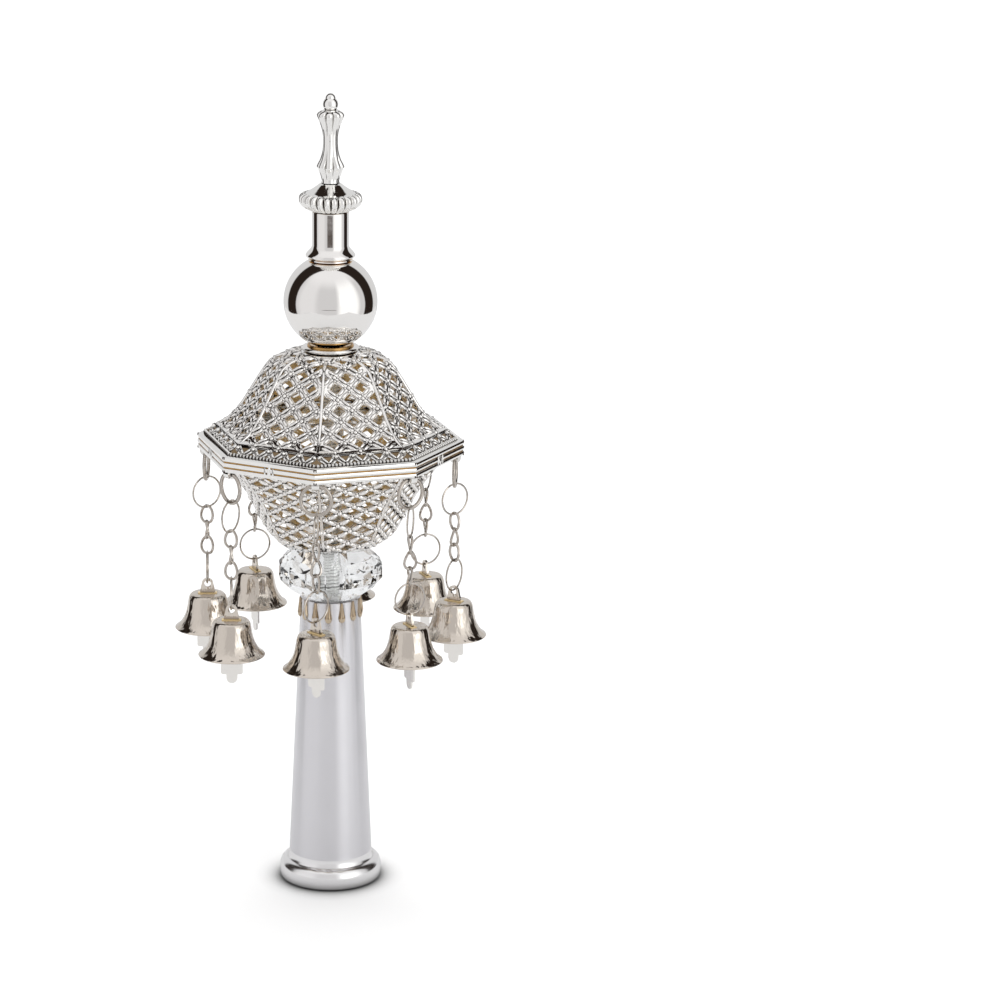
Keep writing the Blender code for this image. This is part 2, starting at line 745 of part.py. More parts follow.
def build():
    clear_scene()
    plate = material("silver plate", (0.86, 0.86, 0.85), 0.12, 1.0)
    nickel = material("nickel", (0.80, 0.77, 0.71), 0.15, 1.0)
    steel = material("threaded steel", (0.62, 0.62, 0.61), 0.30, 1.0)
    crystal = material("clear crystal", (0.97, 0.98, 0.98), 0.02, 0.0, 1.0)
    make_staff(plate)
    make_rod(steel)
    make_crystal(crystal)
    make_lower_lantern(plate)
    make_rim(plate)
    make_upper_lantern(plate)
    make_collar(plate)
    make_ball(plate)
    make_neck(plate)
    make_knop(plate)
    make_spindle(plate)
    for k, (corner, ring_turns) in enumerate(CORNERS.items()):
        azimuth = k * 2 * math.pi / OCTAGON
        make_chain("chain_" + corner, azimuth, ring_turns, nickel)
        frame = bell_frame(azimuth, math.radians(ring_turns[1] + 90.0) - azimuth)
        make_bell("bell_" + corner, frame, nickel)
        make_clapper("clapper_" + corner, frame, nickel)


build()
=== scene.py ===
# %% [markdown]
# # Torah finial
# A finial that slips over the roller handle of a scroll. From the foot up it has a hollow
# staff, a clear faceted bead, an octagonal openwork lantern hung with eight bells, a
# polished ball, a neck, a gadrooned knop and a leafed spindle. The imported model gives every
# size and place, in metres with +Z up, and this script dresses each solid in finer mesh.

# %% Load the model
import math

import bpy
import numpy as np
from mathutils import Matrix, Vector


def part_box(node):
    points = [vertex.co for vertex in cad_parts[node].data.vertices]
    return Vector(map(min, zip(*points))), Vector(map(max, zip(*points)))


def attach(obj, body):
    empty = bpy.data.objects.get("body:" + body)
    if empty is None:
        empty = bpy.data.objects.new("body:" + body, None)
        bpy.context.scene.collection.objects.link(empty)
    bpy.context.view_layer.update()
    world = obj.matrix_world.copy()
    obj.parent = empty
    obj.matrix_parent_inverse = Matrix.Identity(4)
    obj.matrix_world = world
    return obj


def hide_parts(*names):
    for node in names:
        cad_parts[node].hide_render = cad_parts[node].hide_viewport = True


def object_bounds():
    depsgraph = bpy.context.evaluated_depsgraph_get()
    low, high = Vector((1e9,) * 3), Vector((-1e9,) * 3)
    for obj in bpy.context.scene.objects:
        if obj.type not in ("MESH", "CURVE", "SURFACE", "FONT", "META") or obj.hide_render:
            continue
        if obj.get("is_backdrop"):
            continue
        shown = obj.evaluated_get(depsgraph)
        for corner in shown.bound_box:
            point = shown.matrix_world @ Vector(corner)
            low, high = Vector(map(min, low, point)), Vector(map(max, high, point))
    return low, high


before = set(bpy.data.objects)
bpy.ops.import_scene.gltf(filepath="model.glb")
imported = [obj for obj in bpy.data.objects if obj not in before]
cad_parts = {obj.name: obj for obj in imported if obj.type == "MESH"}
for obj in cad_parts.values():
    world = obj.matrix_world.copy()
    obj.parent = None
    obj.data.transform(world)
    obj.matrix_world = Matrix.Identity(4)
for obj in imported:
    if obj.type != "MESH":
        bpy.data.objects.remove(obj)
cad_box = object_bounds()
MM = 0.001
print("nodes:", len(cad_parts))

# %% [markdown]
# ## Camera
# The photograph looks down at the finial from a little over a metre away, through a long
# lens that hardly widens the near bells. The camera stands in front of the finial's axis
# and is then turned to its right, which puts the finial left of the middle of the frame.

# %% Camera
CAMERA_AZIMUTH = math.radians(6.4)
CAMERA_DISTANCE = 1.200
CAMERA_HEIGHT = 0.4671
CAMERA_PITCH = math.radians(15.33)
CAMERA_TURN = math.radians(2.706)
LENS = 129.1

lens = bpy.data.cameras.new("camera")
lens.lens = LENS
lens.sensor_width = 36.0
lens.clip_start = 0.05
camera = bpy.data.objects.new("camera", lens)
camera.matrix_world = (
    Matrix.Rotation(CAMERA_AZIMUTH, 4, "Z")
    @ Matrix.Translation((0.0, -CAMERA_DISTANCE, CAMERA_HEIGHT))
    @ Matrix.Rotation(math.pi / 2 - CAMERA_PITCH, 4, "X")
    @ Matrix.Rotation(-CAMERA_TURN, 4, "Y")
)
bpy.context.scene.collection.objects.link(camera)
bpy.context.scene.camera = camera
print("lens", LENS, "mm")

# %% [markdown]
# ## Colours and nodes
# A colour picked from a picture is an sRGB value, and the shaders reckon in linear light,
# so one function turns a hex value to linear. Another adds a node with its settings and
# links, which keeps each material as short as a recipe.


# %% Colour and node helpers
def tint(value):
    """A hex colour such as "d8d4cc" as linear red, green, blue and an alpha of 1."""
    parts = [int(value[k : k + 2], 16) / 255 for k in (0, 2, 4)]
    linear = [p / 12.92 if p <= 0.04045 else ((p + 0.055) / 1.055) ** 2.4 for p in parts]
    return (*linear, 1.0)


def add(tree, kind, settings=(), **links):
    """Adds a node, sets its properties, and fills or links its inputs by name."""
    node = tree.nodes.new(kind)
    for key, value in dict(settings).items():
        setattr(node, key, value)
    for key, value in links.items():
        place = int(key[1:]) if key[1:].isdigit() else key.replace("_", " ")
        socket = node.inputs[place]
        if isinstance(value, bpy.types.NodeSocket):
            tree.links.new(value, socket)
        else:
            socket.default_value = value
    return node


def new_material(name):
    """An empty material and its tree, with the output node in place."""
    made = bpy.data.materials.new(name)
    made.use_nodes = True
    made.node_tree.nodes.clear()
    return made, made.node_tree


print("white is", tint("ffffff"))

# %% [markdown]
# ## Plated metals
# Silver plate on brass is buffed until it mirrors the room: metallic, almost white, and
# very smooth. A perfect mirror looks false, so a noise a few millimetres wide varies the
# roughness like the haze that hands leave, and a finer one gives the faint swirl of the
# buffing wheel. The buff never reaches a recess, so there the plate is thin and the brass
# under it has tarnished. How much of the sky a point sees picks out those places, and the
# recess colour laid there is partly that tarnish and partly painted shade. Painted
# pictures could carry all this too, but noise set in millimetres needs no files or seams.


# %% Metal recipe
def plated(
    name, colours, haze, roughness, waves, reach=1.0, oxide_and_shade=(0.15, 0.65), bare=1.0, drawn=1.0
):
    """Plated metal in two colours, that of the open surface and that of its recesses.

    The recess colour is partly tarnish and partly painted shade, laid where little open sky
    reaches. haze is the width of the smears, waves the width and height of the fine waves,
    and reach how far off a wall still makes a recess, all in mm. The pair after reach tells
    at which share of open sky the recess colour is full, and at which it has gone. bare is
    the share of the surface that is clean metal and not a dull film, and drawn, when it is
    under 1, stretches the waves upright, as in sheet that was drawn over a punch.
    """
    colour, recess = colours
    low, high = roughness
    swirl, depth = waves
    made, tree = new_material(name)
    place = add(tree, "ShaderNodeTexCoord").outputs["Object"]
    smears = add(tree, "ShaderNodeTexNoise", Vector=place, Scale=1.0 / (haze * MM), Detail=4.0)
    pulled = add(tree, "ShaderNodeMapping", Vector=place, Scale=(1.0, 1.0, drawn)).outputs[0]
    ripple = add(tree, "ShaderNodeTexNoise", Vector=pulled, Scale=1.0 / (swirl * MM), Detail=2.0)
    rough = add(
        tree,
        "ShaderNodeMapRange",
        Value=smears.outputs["Fac"],
        From_Min=0.3,
        From_Max=0.7,
        To_Min=low,
        To_Max=high,
    )
    bump = add(tree, "ShaderNodeBump", Height=ripple.outputs["Fac"], Distance=depth * MM)
    # Painted shade, partly tarnish: the recess colour comes in where a point sees little open sky.
    open_sky = add(tree, "ShaderNodeAmbientOcclusion", {"samples": 6}, Distance=reach * MM)
    oxide_and_shade_mask = add(
        tree,
        "ShaderNodeMapRange",
        Value=open_sky.outputs["AO"],
        From_Min=oxide_and_shade[0],
        From_Max=oxide_and_shade[1],
    )
    tone = add(
        tree,
        "ShaderNodeMix",
        {"data_type": "RGBA"},
        i0=oxide_and_shade_mask.outputs["Result"],
        i6=tint(recess),
        i7=tint(colour),
    )
    shader = add(
        tree,
        "ShaderNodeBsdfPrincipled",
        Base_Color=tone.outputs[2],
        Metallic=bare,
        Roughness=rough.outputs["Result"],
        Normal=bump.outputs["Normal"],
    )
    add(tree, "ShaderNodeOutputMaterial", Surface=shader.outputs["BSDF"])
    return made


# Flat faces that the wheel reached everywhere: an almost perfect mirror.
silver = plated("polished silver plate", ("f7f5f2", "c9a566"), 6.0, (0.02, 0.07), (4.0, 0.006), 1.4)
print(silver.name, "has", len(silver.node_tree.nodes), "nodes")

# %% [markdown]
# ## Silver finishes
# The plate is the same all over, and what differs is how the brass under it was shaped.
# One material with painted masks could hold every finish. A small material for each is
# easier to match, and its name says what was done to the metal.

# %% Silver finishes
# A casting keeps some oxide in its gaps, and painted shade darkens them further, so bright crests
# stand against brown hollows.
filigree = plated(
    "silver plate on cast filigree",
    ("fefcf9", "2c1e14"),
    3.0,
    (0.04, 0.12),
    (1.2, 0.040),
    1.5,
    oxide_and_shade=(0.33, 0.61),
)
# Mouldings were rolled or cast, then buffed: they shine, and painted shade darkens them only in a
# crease.
moulded = plated(
    "silver plate on rolled mouldings",
    ("faf9f6", "3d2c1e"),
    5.0,
    (0.03, 0.09),
    (2.5, 0.015),
    0.8,
    oxide_and_shade=(0.2, 0.8),
)
# The tool left fine rings on the foot, which spread its reflections a little. Its near black recess
# colour is painted shade, in its crease and where it meets the table.
spun = plated(
    "silver plate on the spun foot",
    ("f6f5f5", "1f1a17"),
    8.0,
    (0.17, 0.22),
    (5.0, 0.004),
    0.9,
    oxide_and_shade=(0.4, 0.85),
)
# The raised drops are tinted a warm brown that is painted reflection of the dark room, and painted
# shade draws a dark line round them.
drops = plated(
    "silver plate on the drops with painted warm reflection",
    ("cbb9a0", "20160e"),
    2.0,
    (0.05, 0.12),
    (1.5, 0.020),
    oxide_and_shade=(0.50, 0.95),
)
print("silver finishes:", filigree.name, moulded.name, spun.name, drops.name, sep="\n  ")

# %% [markdown]
# ## Nickel finishes
# Bells, clappers and chains are thin sheet and wire under a warmer plate. Sheet that is
# drawn over a punch comes out uneven, so a bell breaks each reflection into upright
# streaks. Modelled dents would cost many faces, so a stretched noise bends the light
# instead. The real streaks are too fine to show, so they are drawn 2 mm wide.

# %% Nickel finishes
# Its recess colour is painted shade, inside the bell and under its lip.
nickel = plated(
    "nickel plate on drawn sheet",
    ("ded5ca", "3a2d22"),
    2.5,
    (0.04, 0.16),
    (2.0, 0.330),
    1.6,
    oxide_and_shade=(0.30, 0.85),
    drawn=0.30,
)
# Wire is drawn through a die, which leaves it smooth, and painted shade darkens it where links
# touch.
wire_plate = plated(
    "nickel plated wire", ("c4bdb5", "40342a"), 3.0, (0.05, 0.12), (2.0, 0.020), 0.5
)
# Flat sheet straight from the roll: pale, with a soft gloss. Its recess colour is painted shade
# inside the bell.
bright = plated("bright nickel sheet", ("f4f1ec", "8a8076"), 3.0, (0.10, 0.22), (2.0, 0.030))
print("nickel finishes:", nickel.name, wire_plate.name, bright.name, sep="\n  ")

# %% [markdown]
# ## Brass and steel
# Where the plate never reached, the brass shows: dull behind the filigree, and bright along
# the lines where two pieces meet. The slope under the rim's lace is a dark brass that is
# painted shade, and the gaps beside it are painted shade in near black. A dull film
# scatters light as paint does, so a share of these metals is left out of the metallic
# part. The rod is plain machined steel.

# %% Brass and steel
# In these bare metals the recess colour is painted shade, as in the thread's grooves.
brass = plated(
    "dull brass behind the plate",
    ("f3d9a4", "c09a5f"),
    3.0,
    (0.30, 0.45),
    (1.5, 0.030),
    0.6,
    bare=0.20,
)
# A dark copy of the brass, painted shade for the slope under the rim's lace.
shaded_brass = plated(
    "brass in painted shade behind the rim's lace",
    ("8d7758", "1f1611"),
    3.0,
    (0.35, 0.50),
    (1.5, 0.030),
    1.2,
    bare=0.35,
)
gilt = plated("polished brass line", ("c9a064", "5a4020"), 3.0, (0.20, 0.35), (1.5, 0.020))
# Near black brass that is painted shade, for the gaps beside the rim's lace and the notches at its
# mitres.
dark_gap = plated(
    "painted shade in the rim's gap", ("4a4038", "1c1713"), 3.0, (0.35, 0.50), (1.5, 0.020)
)
steel = plated("bright steel thread", ("e2e2e0", "7c7c79"), 2.0, (0.16, 0.28), (0.8, 0.010), 0.5)
print("bare metals:", brass.name, shaded_brass.name, gilt.name, dark_gap.name, steel.name, sep="\n  ")

# %% [markdown]
# ## Satin staff
# The staff was finished on the lathe, so its surface is a mass of fine rings. They hardly
# blur a reflection from side to side, and smear it far up and down, which is what makes
# the long bright and dark stripes. Rings that fine can't be modelled, but an anisotropic
# gloss with its tangent round the axis behaves in the same way.

# %% Satin material
satin, satin_tree = new_material("satin silver plate")
satin_tangent = add(satin_tree, "ShaderNodeTangent", {"direction_type": "RADIAL", "axis": "Z"})
satin_place = add(satin_tree, "ShaderNodeTexCoord").outputs["Object"]
SATIN_HAZE = 9.0
satin_haze = add(
    satin_tree,
    "ShaderNodeTexNoise",
    Vector=satin_place,
    Scale=1.0 / (SATIN_HAZE * MM),
    Detail=3.0,
)
satin_rough = add(
    satin_tree,
    "ShaderNodeMapRange",
    Value=satin_haze.outputs["Fac"],
    From_Min=0.3,
    From_Max=0.7,
    To_Min=0.23,
    To_Max=0.27,
)
satin_shader = add(
    satin_tree,
    "ShaderNodeBsdfPrincipled",
    Base_Color=tint("e5e4e7"),
    Metallic=1.0,
    Anisotropic=0.9,
    Anisotropic_Rotation=0.25,
    Roughness=satin_rough.outputs["Result"],
    Tangent=satin_tangent.outputs["Tangent"],
)
add(satin_tree, "ShaderNodeOutputMaterial", Surface=satin_shader.outputs["BSDF"])
print("satin anisotropy", satin_shader.inputs["Anisotropic"].default_value)

# %% [markdown]
# ## Crystal
# The bead is lead crystal, cut and polished: it bends light more than window glass does,
# and it has no colour of its own. Everything about it is uniform, so plain values on the
# shader are the true description.

# %% Crystal material
crystal, crystal_tree = new_material("cut lead crystal")
crystal_shader = add(
    crystal_tree,
    "ShaderNodeBsdfPrincipled",
    Base_Color=tint("fdfefe"),
    Roughness=0.0,
    IOR=1.56,
)
crystal_shader.inputs["Transmission Weight"].default_value = 1.0
add(crystal_tree, "ShaderNodeOutputMaterial", Surface=crystal_shader.outputs["BSDF"])
print("crystal IOR", crystal_shader.inputs["IOR"].default_value)

# %% [markdown]
# ## Mesh tools
# Most of the finial is turned, cast in eightfold symmetry or stamped again and again.
# Modifiers could do much of that, but a few thousand small forms are quicker as plain
# lists. So the meshes are collected in a heap of points and faces: a surface is a grid of
# rings, and a small repeated form is one template stamped at many places by its matrices.


# %% Heap of points and faces
class Heap:
    """Points and faces that grow into one mesh, with a finish number for each face."""

    def __init__(self):
        self.points, self.faces, self.finishes, self.count = [], [], [], 0

    def add(self, points, faces, finish=0):
        """Adds points, and faces that are numbered from the first of them."""
        points = np.asarray(points, dtype=float).reshape(-1, 3)
        self.points.append(points)
        self.faces += [tuple(k + self.count for k in face) for face in faces]
        self.finishes += [finish] * len(faces)
        self.count += len(points)

    def grid(self, rings, closed=False, finish=0, caps=False):
        """Skins rings that all have the same number of points."""
        rings = np.asarray(rings, dtype=float)
        rows, columns = rings.shape[:2]
        faces = []
        for row in range(rows if closed else rows - 1):
            over = (row + 1) % rows
            for k in range(columns):
                far = (k + 1) % columns
                low, high = row * columns, over * columns
                faces.append((low + k, low + far, high + far, high + k))
        if caps:
            faces.append(tuple(range(columns))[::-1])
            faces.append(tuple((rows - 1) * columns + k for k in range(columns)))
        self.add(rings, faces, finish)

    def stamp(self, template, matrices, finish=0):
        """Adds a copy of the template's points and faces at each matrix."""
        points, faces = template
        for matrix in matrices:
            matrix = np.asarray(matrix)
            self.add(points @ matrix[:3, :3].T + matrix[:3, 3], faces, finish)


print("an empty heap has", Heap().count, "points")

# %% [markdown]
# ## From heap to object
# A heap becomes a mesh with its finishes. It is shaded smooth, except over edges sharper
# than an angle, so that round forms look round and creases stay crisp. The object then
# stands for one node of the model, takes its place, and says which part of the finish it
# belongs to.


# %% Dressed pieces
def shape(name, heap, finishes, node, sharp=40.0):
    """Makes the heap an object that stands for a node and moves with the finial."""
    mesh = bpy.data.meshes.new(name)
    mesh.from_pydata(np.concatenate(heap.points).tolist(), [], heap.faces)
    for finish in finishes:
        mesh.materials.append(finish)
    mesh.polygons.foreach_set("material_index", heap.finishes)
    mesh.validate()
    mesh.shade_smooth()
    mesh.set_sharp_from_angle(angle=math.radians(sharp))
    piece = bpy.data.objects.new(name, mesh)
    bpy.context.scene.collection.objects.link(piece)
    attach(piece, "root")
    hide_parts(node)
    return piece


print("nodes to dress:", len(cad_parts))

# %% [markdown]
# ## Turned forms and measures
# Spun and turned parts are circles that follow an outline, and the outline's long curves
# are arcs. Where the model fixes a height or a width, it is asked for it, so that the mesh
# fits the solid that it stands for.


# %% Turned forms
SIDES = 96
ON_AXIS = 0.01


def around(azimuth, radius, z):
    """A point at an azimuth from the front, which is -Y, turning towards +X."""
    return (radius * math.sin(azimuth), -radius * math.cos(azimuth), z)


def ring(radius, z, sides):
    """Points all the way round the axis, from the front on."""
    return [around(2 * math.pi * k / sides, radius, z) for k in range(sides)]


def turned(profile, sides=SIDES):
    """Rings of a turned form from its (radius, height) points in mm."""
    return [ring(max(r, ON_AXIS) * MM, z * MM, sides) for r, z in profile]


def arc(centre, radius, start, end, steps):
    """Points of an arc in a profile, in mm and degrees, from start to end."""
    turns = [math.radians(start + (end - start) * k / steps) for k in range(steps + 1)]
    return [(centre[0] + radius * math.cos(t), centre[1] + radius * math.sin(t)) for t in turns]


print("points in a half round edge:", len(arc((0.0, 0.0), 1.0, -90.0, 90.0, 10)))


# %% Measures of the model
def top_of(node):
    """The height of a node's highest point, in mm."""
    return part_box(node)[1][2] / MM


def foot_of(node):
    """The height of a node's lowest point, in mm."""
    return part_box(node)[0][2] / MM


def reach_of(node):
    """The largest radius of a node that stands on the axis, in mm."""
    low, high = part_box(node)
    return max(high[0], high[1], -low[0], -low[1]) / MM


print("finial height", round(top_of("spindle"), 1), "mm")

# %% [markdown]
# ## Staff
# The staff is a spun cone of plated brass with a rolled foot, and its hollow takes the
# roller handle. A Screw modifier could spin its outline, but rings of points do the same
# and let the foot have a finish of its own. The outline runs up the outside, over the
# closed crown, and down the hollow.

# %% Staff
STAFF_TOP = top_of("staff")
STAFF_WALL = 1.2
CONE_FOOT, CONE_FOOT_RADIUS, CONE_TOP_RADIUS = 10.4, 14.5, 10.35
CROWN_HOLE = 4.3
RAISED, SPUN_FOOT = 1, 2
MOUTH = [(13.3, 0.4), (13.7, 0.0)]
FOOT = [
    (16.9, 0.0),
    (17.3, 0.15),
    (17.6, 0.6),
    (17.8, 1.3),
    (17.93, 2.6),
    (17.93, 3.9),
    (17.75, 5.1),
    (17.3, 6.3),
    (16.5, 7.1),
    (15.5, 7.45),
    (15.1, 7.5),
    (14.95, 7.8),
    (14.7, 8.5),
    (14.5, 10.2),
]


def cone(z):
    """Radius of the staff's cone at a height, both in mm."""
    taper = (CONE_TOP_RADIUS - CONE_FOOT_RADIUS) * (z - CONE_FOOT)
    return CONE_FOOT_RADIUS + taper / (STAFF_TOP - CONE_FOOT)


staff = Heap()
outside = FOOT + [(cone(z), z) for z in np.linspace(12.0, STAFF_TOP - 0.5, 40)]
outside += [(cone(STAFF_TOP) + 0.2, STAFF_TOP - 0.25), (cone(STAFF_TOP) - 0.1, STAFF_TOP)]
hollow = [(CROWN_HOLE, STAFF_TOP), (CROWN_HOLE, STAFF_TOP - 1.6)]
hollow += [(cone(STAFF_TOP) - STAFF_WALL, STAFF_TOP - 1.8)]
staff.grid(turned(outside + hollow + MOUTH), closed=True)
foot_faces = (len(FOOT) - 1) * SIDES
staff.finishes[:foot_faces] = [SPUN_FOOT] * foot_faces
print("mouth of the hollow", 2 * MOUTH[0][0], "mm wide")

# %% [markdown]
# ## Drops round the staff
# They were pressed out from behind. Each is a small dome on a teardrop outline, round
# below and pointed above, wrapped on the cone. Displacement could raise them, but it would
# need a very fine staff, so each drop is a little grid whose edge is bedded in the cone.

# %% Drops
DROPS = 14
DROP_LENGTH = 7.6
DROP_WIDTH = 2.7
DROP_RELIEF = 1.0
DROP_PHASE = math.radians(2.4)
DROP_BEDDED = 0.03
DROP_ROWS, DROP_COLUMNS = 15, 9
BULB = 0.30
for k in range(DROPS):
    azimuth = DROP_PHASE + 2 * math.pi * k / DROPS
    rows = []
    for along in np.linspace(0.0, 1.0, DROP_ROWS):
        bulb = min(along / BULB, 1.0)
        swell = math.sqrt(max(1.0 - (1.0 - bulb) ** 2, 0.0))
        taper = 1.0 - 0.72 * max((along - BULB) / 0.70, 0.0) ** 0.8
        width = DROP_WIDTH / 2 * swell * taper
        relief = DROP_RELIEF * swell * (0.45 + 0.55 * taper)
        z = STAFF_TOP - DROP_LENGTH + along * (DROP_LENGTH - 0.3)
        row = []
        for across in np.linspace(-1.0, 1.0, DROP_COLUMNS):
            rise = relief * math.sqrt(1.0 - across**2) - DROP_BEDDED
            turn = azimuth + across * width / cone(z)
            row.append(around(turn, (cone(z) + rise) * MM, z * MM))
        rows.append(row)
    faces = []
    for i in range(DROP_ROWS - 1):
        for j in range(DROP_COLUMNS - 1):
            near = DROP_COLUMNS * i + j
            faces.append((near, near + 1, near + DROP_COLUMNS + 1, near + DROP_COLUMNS))
    staff.add(rows, faces, finish=RAISED)
shape("staff_dressed", staff, [satin, drops, spun], "staff", sharp=30.0)
print("staff points", staff.count)

# %% [markdown]
# ## Crystal bead and threaded rod
# The bead keeps its solid from the model, because its flat facets are already true. The
# rod inside it carries a standard thread of 1.25 mm pitch: a V groove that climbs one
# pitch a turn, made as rings whose radius depends on height and turn together.

# %% Crystal and rod
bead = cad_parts["crystal"]
bead.data.materials.clear()
bead.data.materials.append(crystal)

THREAD_PITCH = 1.25
THREAD_DEPTH = 0.62
ROD_RADIUS = 4.0
ROD_SIDES = 32
RINGS_A_PITCH = 6
rod = Heap()
rod_low, rod_high = foot_of("threaded_rod"), top_of("threaded_rod")
rings = [ring((ROD_RADIUS - THREAD_DEPTH) * MM, rod_low * MM, ROD_SIDES)]
for z in np.arange(rod_low + 0.2, rod_high - 0.2, THREAD_PITCH / RINGS_A_PITCH):
    row = []
    for k in range(ROD_SIDES):
        climb = ((z / THREAD_PITCH) - k / ROD_SIDES) % 1.0
        groove = THREAD_DEPTH * abs(2.0 * climb - 1.0) ** 1.3
        row.append(around(2 * math.pi * k / ROD_SIDES, (ROD_RADIUS - groove) * MM, z * MM))
    rings.append(row)
rings.append(ring((ROD_RADIUS - THREAD_DEPTH) * MM, rod_high * MM, ROD_SIDES))
rod.grid(rings, caps=True)
shape("threaded_rod_dressed", rod, [steel], "threaded_rod", sharp=50.0)
print("thread turns", round((rod_high - rod_low) / THREAD_PITCH))

# %% [markdown]
# ## Panels of the lantern
# Each half of the lantern has eight panels, which curve in profile and are flat across. So
# a place on a panel is a distance along the profile and a distance across it, and a form
# that is laid out in those two runs over the curve by itself. A flat pattern could also be
# bent with a modifier, but then its bars would narrow with the panel.


# %% Panels
OCTAGON = 8
EIGHTH = 2 * math.pi / OCTAGON
FLAT = math.cos(EIGHTH / 2)
HALF_SIDE = math.sin(EIGHTH / 2)


class Panel:
    """One of the eight faces of a form whose corners follow a (radius, height) profile."""

    def __init__(self, profile, side):
        self.radius, self.height = np.array(profile, dtype=float).T
        steps = np.hypot(np.diff(self.radius * FLAT), np.diff(self.height))
        self.along = np.concatenate([[0.0], np.cumsum(steps)])
        self.length = self.along[-1]
        azimuth = (side + 0.5) * EIGHTH
        self.out = np.array([math.sin(azimuth), -math.cos(azimuth), 0.0])
        self.across = np.array([math.cos(azimuth), math.sin(azimuth), 0.0])
        self.up = np.array([0.0, 0.0, 1.0])

    def corner(self, t):
        """The radius at the panel's corners, at a distance t up the profile."""
        return np.interp(t, self.along, self.radius)

    def half_width(self, t):
        """How far the panel reaches to each side of its middle line."""
        return self.corner(t) * HALF_SIDE

    def point(self, s, t):
        """The place at a distance s across the panel and t up it."""
        z = np.interp(t, self.along, self.height)
        return self.out * self.corner(t) * FLAT + self.across * s + self.up * z

    def normal(self, t):
        """The way out of the panel, square to it."""
        rise = self.point(0.0, t + 0.5) - self.point(0.0, t - 0.5)
        out = np.cross(self.across, rise)
        out = out / np.linalg.norm(out)
        return out if out @ self.out > 0 else -out


def octagon_rings(profile):
    """Rings with eight corners from (radius, height) points in mm."""
    return [ring(r * MM, z * MM, OCTAGON) for r, z in profile]


print("a side is", round(2 * HALF_SIDE, 3), "of the corners' radius")

# %% [markdown]
# ## Templates
# The filigree is cast from wax in which wires and grains were laid. All of it comes down
# to two forms, a flat bar and a grain, each made once at unit size and stretched into
# place by a matrix. Instances would be lighter, but a mesh of its own exports as it is.


# %% Templates
def ball_template(segments, rings):
    """A unit sphere of points and faces, to be stretched by a matrix."""
    points = [(0.0, 0.0, -1.0)]
    for j in range(1, rings):
        tilt = math.pi * j / rings - math.pi / 2
        for k in range(segments):
            turn = 2 * math.pi * k / segments
            level = math.cos(tilt)
            points.append((level * math.cos(turn), level * math.sin(turn), math.sin(tilt)))
    points.append((0.0, 0.0, 1.0))
    last = len(points) - 1
    faces = []
    for k in range(segments):
        far = (k + 1) % segments
        faces.append((0, 1 + far, 1 + k))
        faces.append((last, last - segments + k, last - segments + far))
        for j in range(rings - 2):
            low = 1 + j * segments
            faces.append((low + k, low + far, low + segments + far, low + segments + k))
    return np.array(points), faces


BOX = (
    np.array([(x, y, z) for x in (-0.5, 0.5) for y in (-0.5, 0.5) for z in (-0.5, 0.5)]),
    [(0, 1, 3, 2), (4, 6, 7, 5), (0, 4, 5, 1), (2, 3, 7, 6), (1, 5, 7, 3)],
)
BOX_BACK = (BOX[0], [(0, 2, 6, 4)])
GRAIN = ball_template(8, 6)


def set_in(origin, x_axis, y_axis, z_axis, sizes):
    """Matrix that puts a template on a surface, with its sizes in mm along three axes."""
    matrix = np.eye(4)
    for k, (axis, size) in enumerate(zip((x_axis, y_axis, z_axis), sizes)):
        matrix[:3, k] = np.asarray(axis) * size * MM
    matrix[:3, 3] = np.asarray(origin) * MM
    return matrix


print("grain faces", len(GRAIN[1]))

# %% [markdown]
# ## Filigree
# It is a diagonal lattice of flat bars. Pairs of grains lie on the bars, and a cluster of
# beads sits at each crossing. A picture of holes on a plain sheet would look flat from
# the side, so every bar, grain and bead is real. Bars are cut where they reach the panel's
# edge, and the side that faces inward stays bare brass, which shows through the gaps.


# %% Lattice
HALF_DIAMONDS = 12
SHARES = np.linspace(0.0, 1.0, 13)
FEWEST_INSIDE = 5


def lattice_bars(panel, wide, tall, start, end, margin):
    """Bars and crossings of a diagonal lattice, as (s, t) places on the panel in mm.

    wide and tall are a diamond's size, start and end the heights that the lattice fills,
    and margin is how far it stays off the panel's sides. A bar keeps the part of it that
    is inside, and is left out where few of its points are.
    """
    bars, knots = [], []
    rows = int((end - start) / (tall / 2))
    for j in range(rows + 1):
        t = start + j * tall / 2
        for i in range(-HALF_DIAMONDS, HALF_DIAMONDS + 1):
            if (i + j) % 2:
                continue
            here = (i * wide / 2, t)
            if abs(here[0]) <= panel.half_width(t) - margin:
                knots.append(here)
            if j == rows:
                continue
            for step in (-1, 1):
                there = ((i + step) * wide / 2, t + tall / 2)
                kept = [
                    share
                    for share in SHARES
                    if abs(here[0] + (there[0] - here[0]) * share)
                    <= panel.half_width(here[1] + (there[1] - here[1]) * share) - margin
                ]
                if len(kept) >= FEWEST_INSIDE:
                    ends = [
                        tuple(a + (b - a) * share for a, b in zip(here, there))
                        for share in (kept[0], kept[-1])
                    ]
                    bars.append(ends)
    return bars, knots


trial = Panel([(30.0, 0.0), (30.0, 20.0)], 0)
print("bars on a plain panel:", len(lattice_bars(trial, 8.0, 8.0, 0.0, 20.0, 0.0)[0]))


# %% Dressing a panel
BARE_BACK = 1
SMALL_BEAD = 0.62
CLUSTER = ((1, 0), (-1, 0), (0, 1), (0, -1))


